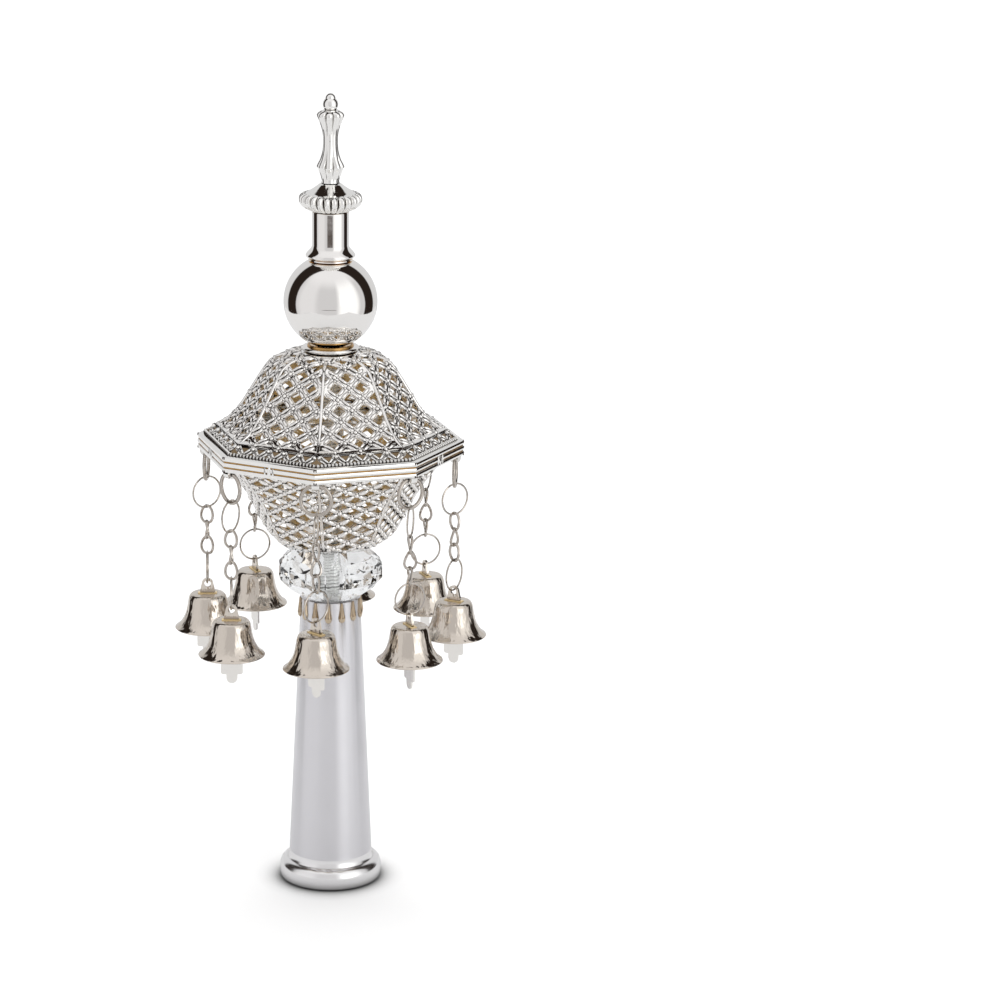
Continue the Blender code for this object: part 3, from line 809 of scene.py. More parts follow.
def dress_panel(heap, panel, bars, knots, strip, grains, bead):
    """Lays flat bars, the grains on them and the beads at the crossings.

    strip is a bar's width and depth. Each of grains is its offset from the bar's middle
    line, its length, width and height. bead is the radius of the middle bead at a crossing
    and how far off the four small ones stand, or 0 for none. All are in mm.
    """
    strip_width, strip_depth = strip
    for (s0, t0), (s1, t1) in bars:
        a, b = panel.point(s0, t0), panel.point(s1, t1)
        middle = (a + b) / 2
        span = np.linalg.norm(b - a)
        along = (b - a) / span
        normal = panel.normal((t0 + t1) / 2)
        normal = normal - along * (normal @ along)
        normal /= np.linalg.norm(normal)
        side = np.cross(normal, along)
        sizes = (span + 0.2 * strip_width, strip_width, strip_depth)
        sunk = middle - normal * strip_depth / 2
        matrix = set_in(sunk, along, side, normal, sizes)
        heap.stamp(BOX, [matrix])
        heap.stamp(BOX_BACK, [matrix], finish=BARE_BACK)
        for offset, length, width, height in grains:
            room = min(length, span - 1.0)
            spot = middle + side * offset + normal * 0.1 * height
            heap.stamp(GRAIN, [set_in(spot, along, side, normal, (room / 2, width / 2, height))])
    radius, spread = bead
    for s, t in knots:
        normal = panel.normal(t)
        up = np.cross(normal, panel.across)
        beads = [(0.0, 0.0, radius)]
        if spread:
            beads += [(x * spread, y * spread, SMALL_BEAD * radius) for x, y in CLUSTER]
        for x, y, size in beads:
            spot = panel.point(s, t) + panel.across * x + up * y
            heap.stamp(GRAIN, [set_in(spot, panel.across, up, normal, (size, size, 1.1 * size))])


print("beads at a crossing", 1 + len(CLUSTER))

# %% [markdown]
# ## Upper half of the lantern
# It rises from the rim in a concave bell to a small flat top under the collar. A smooth
# rib covers each joint between two panels: a circle that is swept down the corner. Plain
# bands edge the top and the foot. The profile is that of the model's solid, measured at
# the corners, so the filigree lies on the solid's skin.


# %% Ribs
def corner_rib(heap, profile, radius, sides=8):
    """A round rib down each corner of the octagon."""
    for k in range(OCTAGON):
        out = np.array(around(k * EIGHTH, 1.0, 0.0))
        across = np.array([-out[1], out[0], 0.0])
        rows = []
        for j, (r, z) in enumerate(profile):
            before, after = profile[max(j - 1, 0)], profile[min(j + 1, len(profile) - 1)]
            step = out * (after[0] - before[0]) + np.array([0.0, 0.0, after[1] - before[1]])
            normal = np.cross(across, step)
            normal = normal / np.linalg.norm(normal)
            sunk = 0.25 * radius if normal @ out > 0 else -0.25 * radius
            centre = out * r + np.array([0.0, 0.0, z]) - normal * sunk
            row = []
            for m in range(sides):
                turn = 2 * math.pi * m / sides
                offset = across * math.cos(turn) + normal * math.sin(turn)
                row.append((centre + offset * radius) * MM)
            rows.append(row)
        heap.grid(rows, caps=True)


def smooth_profile(points, steps):
    """The same profile with more points, evenly spaced along it."""
    points = np.array(points, dtype=float)
    along = np.concatenate([[0.0], np.cumsum(np.hypot(*np.diff(points, axis=0).T))])
    places = np.linspace(0.0, along[-1], steps)
    return [(np.interp(p, along, points[:, 0]), np.interp(p, along, points[:, 1])) for p in places]


print("ribs on a lantern half", OCTAGON)


# %% Upper openwork
LANTERN_BORE = 4.66
SKIN = 0.6
UPPER_DIAMOND = (8.9, 7.9)
UPPER_RIB = 0.6
UPPER_LOW, UPPER_TOP = foot_of("upper_lantern"), top_of("upper_lantern")
UPPER_REACH = reach_of("upper_lantern")
UPPER_SHAPE = [
    (1.000, 0.000),
    (0.950, 0.057),
    (0.886, 0.131),
    (0.800, 0.295),
    (0.725, 0.471),
    (0.655, 0.639),
    (0.593, 0.781),
    (0.534, 0.893),
    (0.460, 0.948),
    (0.370, 0.972),
    (0.240, 0.984),
]
upper = Heap()
upper_line = [
    (r * (UPPER_REACH - SKIN), UPPER_LOW + h * (UPPER_TOP - UPPER_LOW - SKIN))
    for r, h in UPPER_SHAPE
]
upper_line[0] = (upper_line[0][0] + 1.5, UPPER_LOW - 0.35)
for side in range(OCTAGON):
    panel = Panel(upper_line, side)
    bars, knots = lattice_bars(panel, *UPPER_DIAMOND, 0.5, panel.length, 0.4)
    dress_panel(
        upper,
        panel,
        bars,
        knots,
        strip=(2.9, 0.7),
        grains=((0.80, 4.0, 1.2, 0.8), (-0.80, 4.0, 1.2, 0.8)),
        bead=(0.80, 1.25),
    )
corner_rib(upper, smooth_profile(upper_line[:-1], 16), UPPER_RIB)
print("openwork faces", len(upper.faces))

# %% Upper bands
edge = upper_line[0]
upper.grid(
    octagon_rings(
        [
            (edge[0] + 0.2, edge[1] - 0.1),
            (edge[0] + 0.35, edge[1] + 0.3),
            (edge[0] - 0.2, edge[1] + 0.65),
            (edge[0] - 1.6, edge[1] + 1.0),
            (edge[0] - 2.6, UPPER_LOW),
        ]
    ),
    closed=True,
)
upper.grid(
    octagon_rings(
        [
            (0.280 * UPPER_REACH, UPPER_TOP - 1.2),
            (0.265 * UPPER_REACH, UPPER_TOP - 0.4),
            (0.235 * UPPER_REACH, UPPER_TOP),
            (LANTERN_BORE, UPPER_TOP),
            (LANTERN_BORE, UPPER_TOP - 1.3),
        ]
    ),
    closed=True,
)
LATTICE = [filigree, brass]
shape("upper_lantern_dressed", upper, LATTICE, "upper_lantern", sharp=50.0)
print("upper lantern faces", len(upper.faces))

# %% [markdown]
# ## Lower half of the lantern
# A deep bowl of the same work in a flatter pattern: the lattice is wider than it is tall,
# each bar carries one broad grain, and a single bead sits at each crossing. So the same
# functions make it with other numbers. Its ribs are thinner, and a plain dish at the foot
# seats it on the bead.

# %% Lower openwork
LOWER_LOW, LOWER_TOP = foot_of("lower_lantern"), top_of("lower_lantern")
LOWER_REACH = reach_of("lower_lantern")
LOWER_DIAMOND = (9.2, 5.6)
LOWER_RIB = 0.55
LOWER_SHAPE = [
    (0.310, 0.000),
    (0.460, 0.033),
    (0.562, 0.141),
    (0.637, 0.306),
    (0.709, 0.486),
    (0.800, 0.667),
    (0.895, 0.817),
    (0.975, 0.955),
    (1.000, 1.000),
]
lower = Heap()
lower_line = [
    (r * (LOWER_REACH - SKIN), LOWER_LOW + 0.5 + h * (LOWER_TOP - LOWER_LOW - 0.5))
    for r, h in LOWER_SHAPE
]
for side in range(OCTAGON):
    panel = Panel(lower_line[1:], side)
    bars, knots = lattice_bars(panel, *LOWER_DIAMOND, 0.2, panel.length - 0.2, 0.15)
    dress_panel(
        lower,
        panel,
        bars,
        knots,
        strip=(1.9, 0.7),
        grains=((0.0, 4.3, 1.9, 0.85),),
        bead=(0.95, 0.0),
    )
corner_rib(lower, smooth_profile(lower_line[1:-1], 14), LOWER_RIB)
print("openwork faces", len(lower.faces))

# %% Lower dish and brim
lower.grid(
    octagon_rings(
        [
            (LANTERN_BORE, LOWER_LOW),
            (0.300 * LOWER_REACH, LOWER_LOW),
            (0.455 * LOWER_REACH, LOWER_LOW + 1.0),
            (0.500 * LOWER_REACH, LOWER_LOW + 2.4),
            (0.480 * LOWER_REACH, LOWER_LOW + 2.8),
            (0.430 * LOWER_REACH, LOWER_LOW + 1.9),
            (LANTERN_BORE, LOWER_LOW + 1.1),
        ]
    ),
    closed=True,
)
brim = lower_line[-1]
lower.grid(
    octagon_rings(
        [
            (brim[0] - 0.8, LOWER_TOP - 1.4),
            (brim[0] + 0.4, LOWER_TOP - 0.3),
            (brim[0] + 0.4, LOWER_TOP),
            (brim[0] - 1.0, LOWER_TOP),
            (brim[0] - 1.6, LOWER_TOP - 1.2),
        ]
    ),
    closed=True,
)
shape("lower_lantern_dressed", lower, LATTICE, "lower_lantern", sharp=50.0)
print("lower lantern faces", len(lower.faces))

# %% [markdown]
# ## Rim
# The band that joins the two halves is rolled with three reeds and mitred at the corners.
# Over the reeds it turns in to a ledge with a row of tiny beads, and from there a slope of
# pierced lace climbs to the seat of the upper half. One loft of the section round the
# octagon keeps the reeds straight and the mitres crisp, where bevelled blocks would drift
# apart. A finish number for each row of faces colours the grooves, and paints shade on the
# slope under the lace and on the gaps above and below it.


# %% Rim section
RIM_REACH, RIM_TOP, RIM_FOOT = reach_of("rim"), top_of("rim"), 155.6
FASCIA_HEIGHT = 5.4
REEDS = 3
GROOVE = 0.30
GROOVE_DEPTH = 0.45
REED = (FASCIA_HEIGHT - 2 * GROOVE) / REEDS
SEAT_RADIUS = 36.7
SEAT_BACK = 39.4
LEDGE_RADIUS = 38.6
BRASS_LINE, DARK_ROW, LACE_ROW = 1, 2, 3
rim = Heap()
shoulder = RIM_FOOT + FASCIA_HEIGHT
inside = RIM_REACH - 1.5
section = [(RIM_REACH - 0.9, RIM_FOOT)]
for k in range(REEDS):
    low = RIM_FOOT + k * (REED + GROOVE)
    section += [(RIM_REACH - GROOVE_DEPTH, low + 0.02), (RIM_REACH - 0.12, low + 0.16)]
    section += [(RIM_REACH, low + 0.45), (RIM_REACH, low + REED - 0.45)]
    section += [(RIM_REACH - 0.12, low + REED - 0.16)]
    section += [(RIM_REACH - GROOVE_DEPTH, low + REED - 0.02)]
LACE_FOOT = (RIM_REACH - 3.3, shoulder + 0.15)
LACE_HEAD = (RIM_REACH - 5.6, RIM_TOP - 0.75)
section += [
    (RIM_REACH - 0.7, shoulder + 0.1),
    (RIM_REACH - 2.3, shoulder + 0.2),
]
lace_row = len(section)
section += [
    LACE_FOOT,
    LACE_HEAD,
    (RIM_REACH - 6.1, RIM_TOP - 0.5),
    (RIM_REACH - 6.6, RIM_TOP - 0.3),
    (SEAT_RADIUS, RIM_TOP - 0.2),
    (SEAT_RADIUS, RIM_TOP - 1.0),
    (SEAT_BACK, RIM_TOP - 1.5),
    (inside, shoulder - 1.0),
    (inside, RIM_FOOT + 1.8),
    (LEDGE_RADIUS, RIM_FOOT + 1.8),
    (LEDGE_RADIUS, RIM_FOOT + 0.8),
    (inside, RIM_FOOT + 0.8),
    (inside, RIM_FOOT),
]
rim.grid(octagon_rings(section), closed=True)
# The rows on each side of the lace get painted shade, and the slope between them gets brass in
# painted shade.
for row, finish in ((lace_row - 1, DARK_ROW), (lace_row, LACE_ROW), (lace_row + 1, DARK_ROW)):
    rim.finishes[row * OCTAGON : (row + 1) * OCTAGON] = [finish] * OCTAGON
for k in range(REEDS - 1):
    low = RIM_FOOT + (k + 1) * REED + k * GROOVE
    line = RIM_REACH - GROOVE_DEPTH + 0.05
    rim.grid(octagon_rings([(line, low), (line, low + GROOVE)]), finish=BRASS_LINE)
print("reeds", REEDS, "of", round(REED, 2), "mm")

# %% [markdown]
# ## Beads and lace on the rim
# The beads were rolled in with a wheel, so their pitch is even and a whole number of them
# fits a side. The lace is a zigzag of the lantern's own bars and grains: a lattice that
# ends after half a diamond, so the lantern's functions lay it on the slope.

# %% Beads and lace
BEAD_PITCH = 1.28
BEAD_SIZE = (0.60, 0.70, 0.72)
LACE_WIDE = 5.9
BEAD_LINE = (RIM_REACH - 2.6, shoulder + 0.6)
side_length = 2 * BEAD_LINE[0] * HALF_SIDE
bead_count = int(side_length / BEAD_PITCH)
for side in range(OCTAGON):
    panel = Panel([(BEAD_LINE[0], BEAD_LINE[1] - 1.0), (BEAD_LINE[0], BEAD_LINE[1] + 1.0)], side)
    for k in range(bead_count):
        spot = panel.point((k - (bead_count - 1) / 2) * BEAD_PITCH, 1.0)
        rim.stamp(GRAIN, [set_in(spot, panel.across, panel.out, panel.up, BEAD_SIZE)])
    panel = Panel([LACE_FOOT, LACE_HEAD], side)
    lace_tall = 2 * panel.length - 0.4
    bars, knots = lattice_bars(panel, LACE_WIDE, lace_tall, 0.1, panel.length, 0.2)
    dress_panel(
        rim,
        panel,
        bars,
        knots,
        strip=(2.2, 0.4),
        grains=((0.62, 3.2, 1.0, 0.6), (-0.62, 3.2, 1.0, 0.6)),
        bead=(0.80, 0.0),
    )
print("beads on a side", bead_count)

# %% [markdown]
# ## Eyelets, notches and clasps
# Under each corner a lug with a drilled hole carries a chain, and it hangs half behind the
# band. Above and below each mitre a small dark box is painted shade in a notch, and a small
# clasp of three ridges is pressed over the reeds in the middle of six sides. A hole could be
# cut with a boolean, but a plate whose rings run round its hole is cleaner.


# %% Plates with a hole
def lug(outline, hole, thickness):
    """A plate in the XZ plane with a hole: outline and hole are equally long point lists."""
    half = thickness / 2
    rows = [
        [(x, -half, z) for x, z in hole],
        [(x, -half, z) for x, z in outline],
        [(x, half, z) for x, z in outline],
        [(x, half, z) for x, z in hole],
    ]
    heap = Heap()
    heap.grid(rows, closed=True)
    return np.concatenate(heap.points), heap.faces


def round_points(count, radius, centre_z=0.0):
    """Points (x, z) of a circle, in mm."""
    turns = [2 * math.pi * k / count for k in range(count)]
    return [(radius * math.cos(t), centre_z + radius * math.sin(t)) for t in turns]


EYELET_SIDES = 16
EYELET_RADIUS = 2.1
EYELET_HOLE = 1.1
EYELET_THICK = 2.6
EYELET_CUT = -2.15
ear_outline = [(x, max(z, EYELET_CUT)) for x, z in round_points(EYELET_SIDES, EYELET_RADIUS)]
EAR = lug(ear_outline, round_points(EYELET_SIDES, EYELET_HOLE), EYELET_THICK)
print("eyelet faces", len(EAR[1]))


# %% Eyelets, notches and clasps
EYE_AT = 43.21
EYE_Z = 155.05
NOTCH_SIZE = (1.1, 1.1, 0.75)
UP = (0, 0, 1)
for k in range(OCTAGON):
    azimuth = k * EIGHTH
    out = np.array(around(azimuth, 1.0, 0.0))
    across = np.array([-out[1], out[0], 0.0])
    spot = np.array(around(azimuth, EYE_AT, EYE_Z))
    rim.stamp(EAR, [set_in(spot, out, across, UP, (1.0, 1.0, 1.0))])
    # A small dark box above and below each mitre is painted shade in its notch.
    for z in (RIM_FOOT + 0.45, shoulder - 0.45):
        spot = np.array(around(azimuth, RIM_REACH - 0.62, z))
        notch = set_in(spot, out, across, UP, NOTCH_SIZE)
        rim.stamp(BOX, [notch], finish=DARK_ROW)
        rim.stamp(BOX_BACK, [notch], finish=DARK_ROW)

CLASP_SIDES = (1, 2, 3, 5, 6, 7)
CLASP_RIDGES = ((-1.55, 0.8), (0.0, 1.6), (1.55, 0.8))
for side in CLASP_SIDES:
    panel = Panel([(RIM_REACH, RIM_FOOT), (RIM_REACH, shoulder)], side)
    for s, width in CLASP_RIDGES:
        spot = panel.point(s, 0.42 * FASCIA_HEIGHT) - panel.out * 0.25
        sizes = (width / 2, 0.5, 0.36 * FASCIA_HEIGHT)
        rim.stamp(GRAIN, [set_in(spot, panel.across, panel.out, panel.up, sizes)])
shape("rim_dressed", rim, [moulded, gilt, dark_gap, shaded_brass], "rim", sharp=32.0)
print("rim faces", len(rim.faces))

# %% [markdown]
# ## Collar
# A thin turned disc with a round edge, which covers the hole in the lantern's top. A brass
# ring lies on it where the ball presses, and shows as the gold line under the ball. Both
# are turned: the disc from a half round, the ring from a small circle.

# %% Collar
STEM_BORE = 4.4
BRASS_RING_RADIUS, BRASS_RING_WIRE = 7.5, 0.5
collar = Heap()
collar_low, collar_top, collar_reach = foot_of("collar"), top_of("collar"), reach_of("collar")
half = (collar_top - collar_low) / 2
edge = arc((collar_reach - half, collar_low + half), half, -90.0, 90.0, 10)
dish = [(7.2, collar_top), (7.0, collar_top + 0.5), (6.3, collar_top + 0.4), (5.4, collar_top)]
disc = [(STEM_BORE, collar_low)] + edge + dish + [(STEM_BORE, collar_top)]
collar.grid(turned(disc), closed=True)
ring_line = arc((BRASS_RING_RADIUS, collar_top + 0.2), BRASS_RING_WIRE, 0.0, 337.5, 15)
collar.grid(turned(ring_line), closed=True, finish=1)
shape("collar_dressed", collar, [silver, gilt], "collar")
print("collar thickness", round(2 * half, 2), "mm")

# %% [markdown]
# ## Ball
# Two spun half shells, soldered and polished until the joint is gone. It is a plain
# mirror: the busy pattern low on it is only the lantern's reflection, so its surface stays
# smooth and round. A ready-made sphere would pinch at its poles, so it is turned as well.

# %% Ball
BALL_RADIUS = 16.05
BALL_SEAT = 5.0
BALL_WALL = 1.2
ball = Heap()
ball_low, ball_top = foot_of("ball"), top_of("ball")
ball_centre = ball_low + math.sqrt(BALL_RADIUS**2 - BALL_SEAT**2)
start = math.degrees(math.asin((ball_low - ball_centre) / BALL_RADIUS))
end = math.degrees(math.asin((ball_top - ball_centre) / BALL_RADIUS))
skin = arc((0.0, ball_centre), BALL_RADIUS, start, end, 72)
lining = arc((0.0, ball_centre), BALL_RADIUS - BALL_WALL, 56.0, -70.0, 24)
shell = [(STEM_BORE, ball_low)] + skin + [(STEM_BORE, ball_top)] + lining
ball.grid(turned(shell, 128), closed=True)
shape("ball_dressed", ball, [silver], "ball")
print("ball centre", round(ball_centre, 2), "mm")

# %% [markdown]
# ## Neck
# A turned tube that flares to the ball, where it ends in a rounded lip, a groove and a
# small bead. The points of its outline lie close together there, and again just above the
# flare: close points keep each shaded edge narrow and the tube above it straight.

# %% Neck
NECK_RADIUS, NECK_BORE = 6.27, 5.2
neck = Heap()
neck_low, neck_top = foot_of("neck"), top_of("neck")
NECK_LINE = [
    (NECK_BORE, 0.0),
    (7.3, 0.0),
    (7.5, 0.2),
    (7.45, 0.6),
    (7.2, 0.75),
    (7.2, 0.95),
    (7.7, 1.0),
    (8.2, 1.25),
    (8.45, 1.6),
    (8.45, 1.95),
    (8.2, 2.4),
    (7.75, 2.95),
    (7.25, 3.5),
    (6.8, 4.0),
    (6.45, 4.55),
    (NECK_RADIUS, 5.2),
]
neck_line = [(r, neck_low + h) for r, h in NECK_LINE]
neck_line += [(NECK_RADIUS, neck_low + 5.4), (NECK_RADIUS, neck_low + 5.6)]
neck_line += [(NECK_RADIUS, neck_top - 0.35), (NECK_RADIUS, neck_top - 0.25)]
neck_line += [(6.15, neck_top), (NECK_BORE, neck_top)]
neck.grid(turned(neck_line), closed=True)
shape("neck_dressed", neck, [silver], "neck", sharp=50.0)
print("neck", round(neck_top - neck_low, 2), "mm tall")

# %% [markdown]
# ## Knop
# It is cast with round gadroons, like the flutes of a melon, which end in a crease under
# its smooth top. Sculpting would never space them evenly, so each ring's radius swells and
# sinks with the turn, and a depth for each height lets the gadroons fade.


# %% Knop
def lobed_rings(profile, lobes, sides):
    """Rings from (radius, height, depth) points: depth is how far the valleys sink."""
    rings = []
    for radius, z, depth in profile:
        row = []
        for k in range(sides):
            turn = 2 * math.pi * k / sides
            crest = abs(math.cos(turn * lobes / 2)) ** 0.75
            row.append(around(turn, radius * (1.0 - depth * (1.0 - crest)) * MM, z * MM))
        rings.append(row)
    return rings


knop = Heap()
knop_low, knop_top = foot_of("knop"), top_of("knop")
knop_seat = neck_top + 0.3
GADROONS = 24
KNOP_BORE = 4.87
KNOP_LINE = [
    (6.3, 0.0, 0.02),
    (6.8, 0.15, 0.07),
    (7.9, 0.6, 0.11),
    (9.3, 1.35, 0.15),
    (10.2, 2.2, 0.16),
    (10.7, 3.1, 0.16),
    (10.85, 4.0, 0.16),
    (10.75, 4.8, 0.16),
    (10.4, 5.4, 0.14),
    (9.9, 5.9, 0.14),
    (9.3, 6.1, 0.10),
    (8.9, 5.95, 0.02),
    (8.6, 6.0, 0.0),
    (7.6, 6.6, 0.0),
    (6.6, 7.2, 0.0),
    (5.6, 7.85, 0.0),
    (4.7, 8.5, 0.0),
    (4.0, 9.05, 0.0),
    (3.5, 9.4, 0.0),
]
knop_line = [(ON_AXIS, knop_low, 0.0), (KNOP_BORE, knop_low, 0.0), (KNOP_BORE, knop_seat, 0.0)]
knop_line += [(r, knop_seat + h, d) for r, h, d in KNOP_LINE]
knop_line.append((ON_AXIS, knop_top, 0.0))
knop.grid(lobed_rings(knop_line, GADROONS, 12 * GADROONS))
shape("knop_dressed", knop, [moulded], "knop", sharp=60.0)
print("knop", round(2 * reach_of("knop"), 1), "mm wide with", GADROONS, "gadroons")

# %% [markdown]
# ## Spindle
# A cast baluster of eight leaves that point down at its shoulder and up at its crown, with
# two small balls on top. It is made as the knop is, from lobed rings: the leaves are
# deepest at the shoulder and at the crown, and the balls have no lobes at all.

# %% Spindle
LEAVES = 8
LOWER_BALL, TIP_BALL = 2.65, 1.75
spindle = Heap()
spindle_low, spindle_top = foot_of("spindle"), top_of("spindle")
SPINDLE_LINE = [
    (3.2, 0.0, 0.02),
    (2.95, 0.5, 0.06),
    (3.25, 1.8, 0.10),
    (3.8, 3.4, 0.14),
    (4.25, 4.7, 0.18),
    (4.7, 5.2, 0.26),
    (4.75, 5.6, 0.26),
    (4.35, 6.5, 0.20),
    (3.65, 7.8, 0.16),
    (3.1, 9.4, 0.11),
    (2.7, 11.2, 0.08),
    (2.53, 13.4, 0.07),
    (2.55, 15.6, 0.07),
    (2.8, 17.4, 0.09),
    (3.3, 19.2, 0.17),
    (3.95, 21.0, 0.21),
    (4.6, 22.5, 0.25),
    (4.72, 23.1, 0.25),
    (4.3, 23.8, 0.20),
    (3.2, 24.5, 0.10),
    (2.1, 24.8, 0.0),
    (1.8, 25.0, 0.0),
]
spindle_line = [(ON_AXIS, spindle_low, 0.0)]
spindle_line += [(r, spindle_low + h, d) for r, h, d in SPINDLE_LINE]
ball_at = spindle_low + 26.6
spindle_line += [(r, z, 0.0) for r, z in arc((0.0, ball_at), LOWER_BALL, -48.0, 52.0, 10)]
tip_at = spindle_top - TIP_BALL
spindle_line += [(r, z, 0.0) for r, z in arc((0.0, tip_at), TIP_BALL, -40.0, 89.0, 10)]
spindle.grid(lobed_rings(spindle_line, LEAVES, SIDES))
shape("spindle_dressed", spindle, [moulded], "spindle", sharp=60.0)
print("spindle height", round(spindle_top - spindle_low, 1), "mm")

# %% [markdown]
# ## Chains
# Each bell hangs on a thick ring, a thin ring, three pear-shaped links and another thin
# ring, all bent from round wire. A curve with a round bevel could make them. Here a wire is
# a circle that is swept along a closed path, and each kind of loop is a template.


# %% Wire loops
def wire(path, radius, sides=8):
    """Rings of a closed round wire along a path of points in mm, in the path's own place."""
    path = np.asarray(path, dtype=float)
    count = len(path)
    normal = np.array([0.0, 1.0, 0.0])
    rows = []
    for k in range(count):
        along = path[(k + 1) % count] - path[k - 1]
        along /= np.linalg.norm(along)
        side = np.cross(along, normal)
        side /= np.linalg.norm(side)
        lift = np.cross(side, along)
        turns = [2 * math.pi * m / sides for m in range(sides)]
        spokes = [side * radius * math.cos(t) + lift * radius * math.sin(t) for t in turns]
        rows.append([path[k] + spoke for spoke in spokes])
    heap = Heap()
    heap.grid(rows, closed=True)
    return np.concatenate(heap.points), heap.faces


def loop_path(width, height, steps, pear=0.0, twist=0.0):
    """A loop in the XZ plane with its top at the origin; pear narrows the top."""
    points = []
    for k in range(steps):
        turn = 2 * math.pi * k / steps
        narrow = 1.0 - pear * math.cos(turn)
        points.append(
            (
                width / 2 * narrow * math.sin(turn),
                twist * math.sin(2 * turn),
                height / 2 * (math.cos(turn) - 1.0),
            )
        )
    return points


THICK = wire(loop_path(10.3, 10.3, 48), 0.65, 12)
THIN = wire(loop_path(11.0, 11.0, 48), 0.32, 8)
LINK = wire(loop_path(4.1, 6.2, 28, pear=0.22, twist=0.35), 0.47, 8)
print("points in a link", len(LINK[0]))

# %% [markdown]
# ## Hanging the loops
# Every loop hangs in the one above it, with the wires just touching, so only its turn is
# free. The photograph gives the turns at the corners that it shows. A simulation could
# find the heights, but they follow from the loops' sizes.


# %% Chains
CORNERS = {
    "front": (90.0, 50.0),
    "front_right": (84.0, 30.0),
    "right": (43.0, 65.0),
    "back_right": (76.0, 26.0),
    "back": (90.0, 80.0),
    "back_left": (-25.0, 26.0),
    "left": (40.0, 96.0),
    "front_left": (66.0, 96.0),
}
LINK_SWING = 78.0
LEVELS = [
    (THICK, 154.85),
    (THIN, 145.31),
    (LINK, 134.87),
    (LINK, 129.31),
    (LINK, 123.75),
    (THIN, 118.11),
]


def hung(azimuth, z, turn):
    """Matrix that hangs a form in mm under a corner, turned by an angle in degrees."""
    spot = Matrix.Translation(Vector(around(azimuth, EYE_AT, z)) * MM)
    return np.array(spot @ Matrix.Rotation(math.radians(turn), 4, "Z") @ Matrix.Scale(MM, 4))


for k, (corner, (thin_turn, low)) in enumerate(CORNERS.items()):
    azimuth = k * EIGHTH
    turns = (math.degrees(azimuth), thin_turn, low + LINK_SWING, low, low + LINK_SWING, low)
    chain = Heap()
    for (template, top), turn in zip(LEVELS, turns):
        chain.stamp(template, [hung(azimuth, top, turn)])
    shape("chain_" + corner + "_dressed", chain, [wire_plate], "chain_" + corner)
print("loops in a chain", len(LEVELS))

# %% [markdown]
# ## Bells
# A bell is stamped from thin sheet and flares to a rolled lip. Its outline is turned,
# outside and inside, so the wall is real where light gets under the lip. A flat disc with
# a Solidify modifier could be pulled to shape too, but the outline fits the photograph
# point by point.

# %% Bell
BELL_LINE = [
    (ON_AXIS, 0.0),
    (5.2, 0.0),
    (5.7, -0.1),
    (6.05, -0.4),
    (6.4, -1.0),
    (6.65, -1.8),
    (6.85, -3.0),
    (7.1, -4.6),
    (7.5, -6.4),
    (8.1, -8.1),
    (8.9, -9.6),
    (9.8, -10.8),
    (10.7, -11.6),
    (11.3, -12.0),
    (11.4, -12.2),
    (11.2, -12.4),
    (10.5, -12.1),
    (9.5, -11.4),
    (8.5, -10.2),
    (7.7, -8.8),
    (7.0, -6.8),
    (6.5, -4.6),
    (6.2, -2.8),
    (5.7, -1.2),
    (4.9, -0.8),
    (ON_AXIS, -0.8),
]
BELL_SIDES = 64
skin = Heap()
skin.grid([ring(r, z, BELL_SIDES) for r, z in BELL_LINE])
BELL = (np.concatenate(skin.points), skin.faces)
print("bell", 2 * max(r for r, z in BELL_LINE), "mm over its lip")

# %% [markdown]
# ## Tab of a bell
# A tab with a round hole stands on the crown, square to the ring that passes through it.
# It is round above and spreads to a foot below, and a thin line of brass shows where the
# foot was soldered on.

# %% Tab
TAB_HOLE = 1.15
TAB_RADIUS = 2.0
TAB_CENTRE = 3.5
TAB_SIDES = 24
TAB_THICK = 0.8
tab_outline = []
for k in range(TAB_SIDES):
    t = 2 * math.pi * k / TAB_SIDES
    x, z = TAB_RADIUS * math.cos(t), TAB_RADIUS * math.sin(t)
    if z < 0:
        drop = -z / TAB_RADIUS
        spread = min(abs(math.cos(t)) * 1.6, 1.0)
        x, z = (TAB_RADIUS + 0.9 * drop) * math.copysign(spread, math.cos(t)), z * 1.95
    tab_outline.append((x, TAB_CENTRE + z))
TAB = lug(tab_outline, round_points(TAB_SIDES, TAB_HOLE, TAB_CENTRE), TAB_THICK)
SOLDER = set_in((0.0, 0.0, 0.12), (1, 0, 0), (0, 1, 0), UP, (6.6, 2.2, 0.3)) / MM
SOLDER[3, 3] = 1.0
print("tab", round(max(z for x, z in tab_outline), 2), "mm over the crown")

# %% [markdown]
# ## Clappers
# A clapper is stamped too: a stem, a plate wide enough to strike the lip, and a rounded
# leaf below it. Half of its outline is enough, since the other half is its mirror image.

# %% Clapper shape
LEAF_THICK = 0.6
LEAF = [
    (0.6, -1.1),
    (0.6, -13.4),
    (3.3, -14.3),
    (3.75, -14.8),
    (3.75, -18.9),
    (3.3, -19.4),
    (1.9, -19.5),
    (1.9, -21.0),
    (1.5, -22.0),
    (0.6, -22.6),
]
leaf_outline = LEAF + [(-x, z) for x, z in reversed(LEAF)]
leaf = Heap()
sides = (-LEAF_THICK / 2, LEAF_THICK / 2)
leaf.grid([[(x, y, z) for x, z in leaf_outline] for y in sides], caps=True)
LEAF_PLATE = (np.concatenate(leaf.points), leaf.faces)
print("clapper", -min(z for x, z in LEAF), "mm below the crown")

# %% Hanging the bells
CROWN_Z = 103.11
for k, (corner, (_, low)) in enumerate(CORNERS.items()):
    matrix = hung(k * EIGHTH, CROWN_Z, low + 90.0)
    bell = Heap()
    bell.stamp(BELL, [matrix])
    bell.stamp(TAB, [matrix])
    bell.stamp(BOX, [matrix @ SOLDER], finish=1)
    bell.stamp(BOX_BACK, [matrix @ SOLDER], finish=1)
    node = "bell_" + corner
    shape(node + "_dressed", bell, [nickel, brass], node, sharp=50.0)
    clapper = Heap()
    clapper.stamp(LEAF_PLATE, [matrix])
    node = "clapper_" + corner
    shape(node + "_dressed", clapper, [bright], node, sharp=30.0)
print("bells", len(CORNERS))

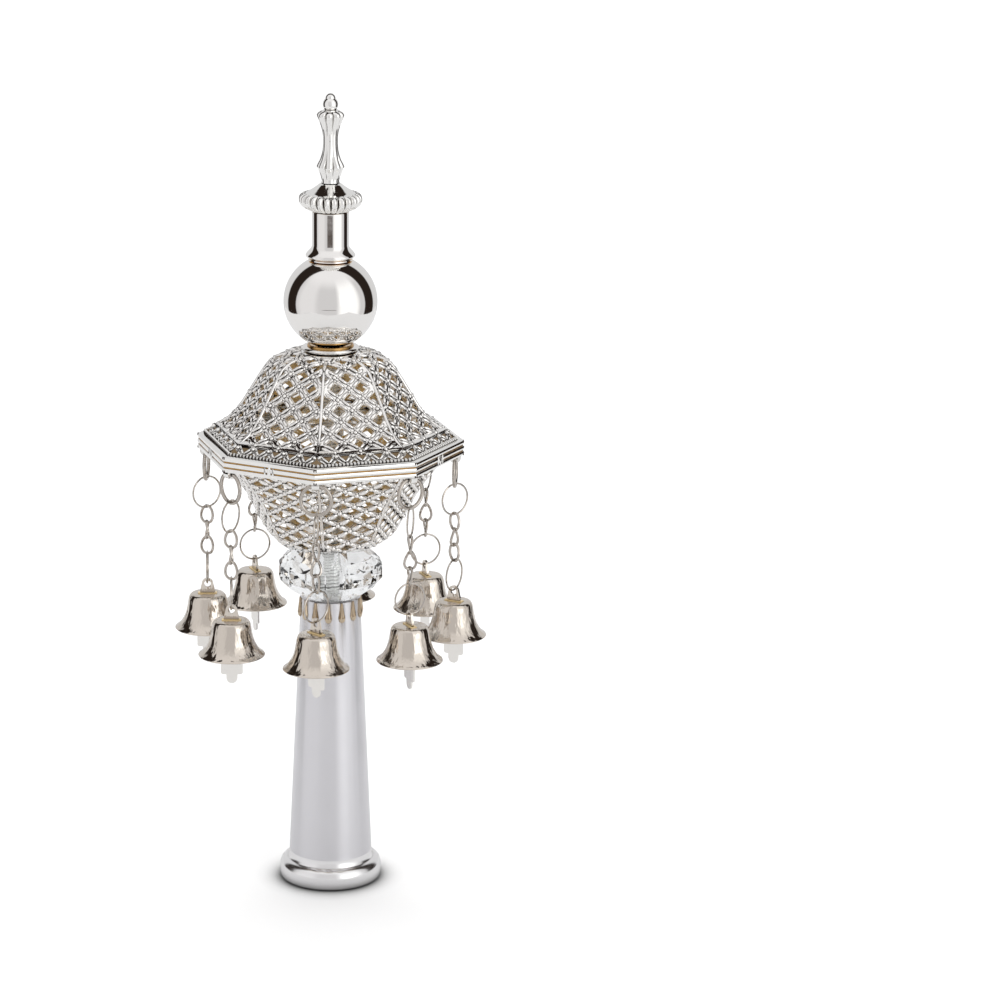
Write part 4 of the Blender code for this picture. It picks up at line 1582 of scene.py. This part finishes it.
# %% [markdown]
# ## Light
# Polished metal shows what stands round it, so the studio matters as much as the metal. It
# could be built from lit boards, but those would show in the ball as hard squares. Instead
# the world shader draws it by direction, where every edge can be soft. First come the
# helpers, for a soft step, a mixed colour, a sum and a mask.


# %% Studio helpers
def fade(tree, value, low, high):
    """0 below low and 1 above high, with a soft step between them."""
    node = add(
        tree,
        "ShaderNodeMapRange",
        {"interpolation_type": "SMOOTHSTEP"},
        Value=value,
        From_Min=low,
        From_Max=high,
    )
    return node.outputs["Result"]


def blend(tree, share, first, second):
    """The first colour where share is 0, and the second where it is 1."""
    node = add(tree, "ShaderNodeMix", {"data_type": "RGBA"}, i0=share, i6=first, i7=second)
    return node.outputs[2]


def calculate(tree, operation, first, second=0.0):
    """One sum, such as MULTIPLY, on two numbers or sockets."""
    node = add(tree, "ShaderNodeMath", {"operation": operation}, i0=first, i1=second)
    return node.outputs[0]


def between(tree, value, low, high, soft):
    """A mask that is 1 between two limits, with soft edges."""
    rise = fade(tree, value, low - soft, low + soft)
    fall = fade(tree, value, high + soft, high - soft)
    return calculate(tree, "MULTIPLY", rise, fall)


print("studio helpers: a soft step, a mixed colour, a sum and a mask")

# %% [markdown]
# ## Directions
# A look into the world is a direction. Turned to stand square to the camera, it gives how
# far it points right, back and up, and its bearing from the front in degrees, positive to
# the right. The panels are laid out in those.

# %% Directions
world = bpy.data.worlds.new("studio")
world.use_nodes = True
studio = world.node_tree
studio.nodes.clear()
look = add(studio, "ShaderNodeTexCoord")
squared = add(
    studio,
    "ShaderNodeMapping",
    {"vector_type": "POINT"},
    Vector=look.outputs["Generated"],
    Rotation=(0.0, 0.0, -CAMERA_AZIMUTH),
)
axes = add(studio, "ShaderNodeSeparateXYZ", Vector=squared.outputs["Vector"])
right, back, up = axes.outputs
front = calculate(studio, "MULTIPLY", back, -1.0)
radians = calculate(studio, "ARCTAN2", right, front)
bearing = calculate(studio, "MULTIPLY", radians, 180.0 / math.pi)
print("studio nodes so far", len(studio.nodes))

# %% [markdown]
# ## Panels
# A grey panel stands at the left, a white one at the right and a pale one overhead. A
# narrow dark bar low in front gives upright tubes their dark line. Behind the finial a
# dark gap arches from side to side, which draws the dark edges of all that is round, and
# inside the arch hangs the backdrop, grey enough to keep bright edges off the white page.

# %% Panels and backdrop
left_panel = between(studio, bearing, -84.0, -36.0, 10.0)
right_panel = between(studio, bearing, 20.0, 74.0, 8.0)
bar_width = between(studio, bearing, -20.0, 14.0, 4.0)
bar_height = between(studio, up, -0.199, -0.183, 0.002)
bar = calculate(studio, "MULTIPLY", bar_width, bar_height)
colour = blend(studio, left_panel, tint("cac9ca"), tint("dcdbdc"))
colour = blend(studio, right_panel, colour, tint("ffffff"))
colour = blend(studio, fade(studio, up, 0.55, 0.95), colour, tint("e6e5e6"))
colour = blend(studio, bar, colour, tint("57504d"))
colour = blend(studio, fade(studio, back, 0.03, 0.09), colour, tint("261f1b"))
colour = blend(studio, fade(studio, back, 0.57, 0.64), colour, tint("cfcfd0"))
print("studio nodes so far", len(studio.nodes))

# %% [markdown]
# ## What each kind of ray sees
# The camera and the matt table see plain white, so the page is white. Rays that pass
# through the crystal see mostly white too, as they would against a lit page. The right
# panel has a brighter core, which gives polished forms their highlight. The table's light
# comes mostly from behind, so that the shadow falls in front of the foot.

# %% Rays and strength
path = add(studio, "ShaderNodeLightPath")
colour = blend(studio, path.outputs["Is Camera Ray"], colour, tint("ffffff"))
colour = blend(studio, path.outputs["Is Diffuse Ray"], colour, tint("ffffff"))
through = calculate(studio, "MULTIPLY", path.outputs["Is Transmission Ray"], 0.8)
colour = blend(studio, through, colour, tint("f0f0f1"))
core_width = between(studio, bearing, 30.0, 54.0, 10.0)
core_height = between(studio, up, 0.0, 0.4, 0.1)
core = calculate(studio, "MULTIPLY", core_width, core_height)
core = calculate(studio, "MULTIPLY", core, 0.9)
behind = calculate(studio, "MULTIPLY", fade(studio, back, 0.45, 0.65), 2.1)
from_behind = calculate(studio, "SUBTRACT", behind, 0.19)
boost = calculate(studio, "MULTIPLY", path.outputs["Is Diffuse Ray"], from_behind)
strength = calculate(studio, "ADD", calculate(studio, "ADD", core, boost), 1.12)
lit = add(studio, "ShaderNodeBackground", Color=colour, Strength=strength)
add(studio, "ShaderNodeOutputWorld", Surface=lit.outputs[0])
bpy.context.scene.world = world
print("world", world.name, "of", len(studio.nodes), "nodes")

# %% [markdown]
# ## Table
# The finial stands on a sheet of white paper. The camera sees it pure white except close
# to the foot, where little open sky reaches it and the paper darkens: that is the soft
# contact shadow. To all other rays it is a shade darker, which keeps its reflection in the
# metal below white.

# %% Table
TABLE_FRONT = 0.50
TABLE_BACK = 0.70
TABLE_SIDE = 0.50
floor_mesh = bpy.data.meshes.new("floor")
floor_mesh.from_pydata(
    [
        (-TABLE_SIDE, -TABLE_FRONT, 0.0),
        (TABLE_SIDE, -TABLE_FRONT, 0.0),
        (TABLE_SIDE, TABLE_BACK, 0.0),
        (-TABLE_SIDE, TABLE_BACK, 0.0),
    ],
    [],
    [(0, 1, 2, 3)],
)
floor = bpy.data.objects.new("floor", floor_mesh)
floor.matrix_world = Matrix.Rotation(CAMERA_AZIMUTH, 4, "Z")
bpy.context.scene.collection.objects.link(floor)
floor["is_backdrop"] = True
white, white_tree = new_material("white studio table")
seen = add(white_tree, "ShaderNodeLightPath").outputs["Is Camera Ray"]
paper = blend(white_tree, seen, tint("d8d8d9"), tint("ffffff"))
near = add(white_tree, "ShaderNodeAmbientOcclusion", {"samples": 8}, Distance=9.0 * MM)
paper = blend(white_tree, fade(white_tree, near.outputs["AO"], 0.42, 1.0), tint("7c7c7c"), paper)
diffuse = add(white_tree, "ShaderNodeBsdfDiffuse", Color=paper)
add(white_tree, "ShaderNodeOutputMaterial", Surface=diffuse.outputs[0])
floor_mesh.materials.append(white)

view = bpy.context.scene.view_settings
view.view_transform = "Standard"
view.look = "None"
print("table", 2 * TABLE_SIDE, "m wide")

# %% Finish
sizes = {"cad": [list(c) for c in cad_box], "visual": [list(c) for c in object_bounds()]}
print(sizes)
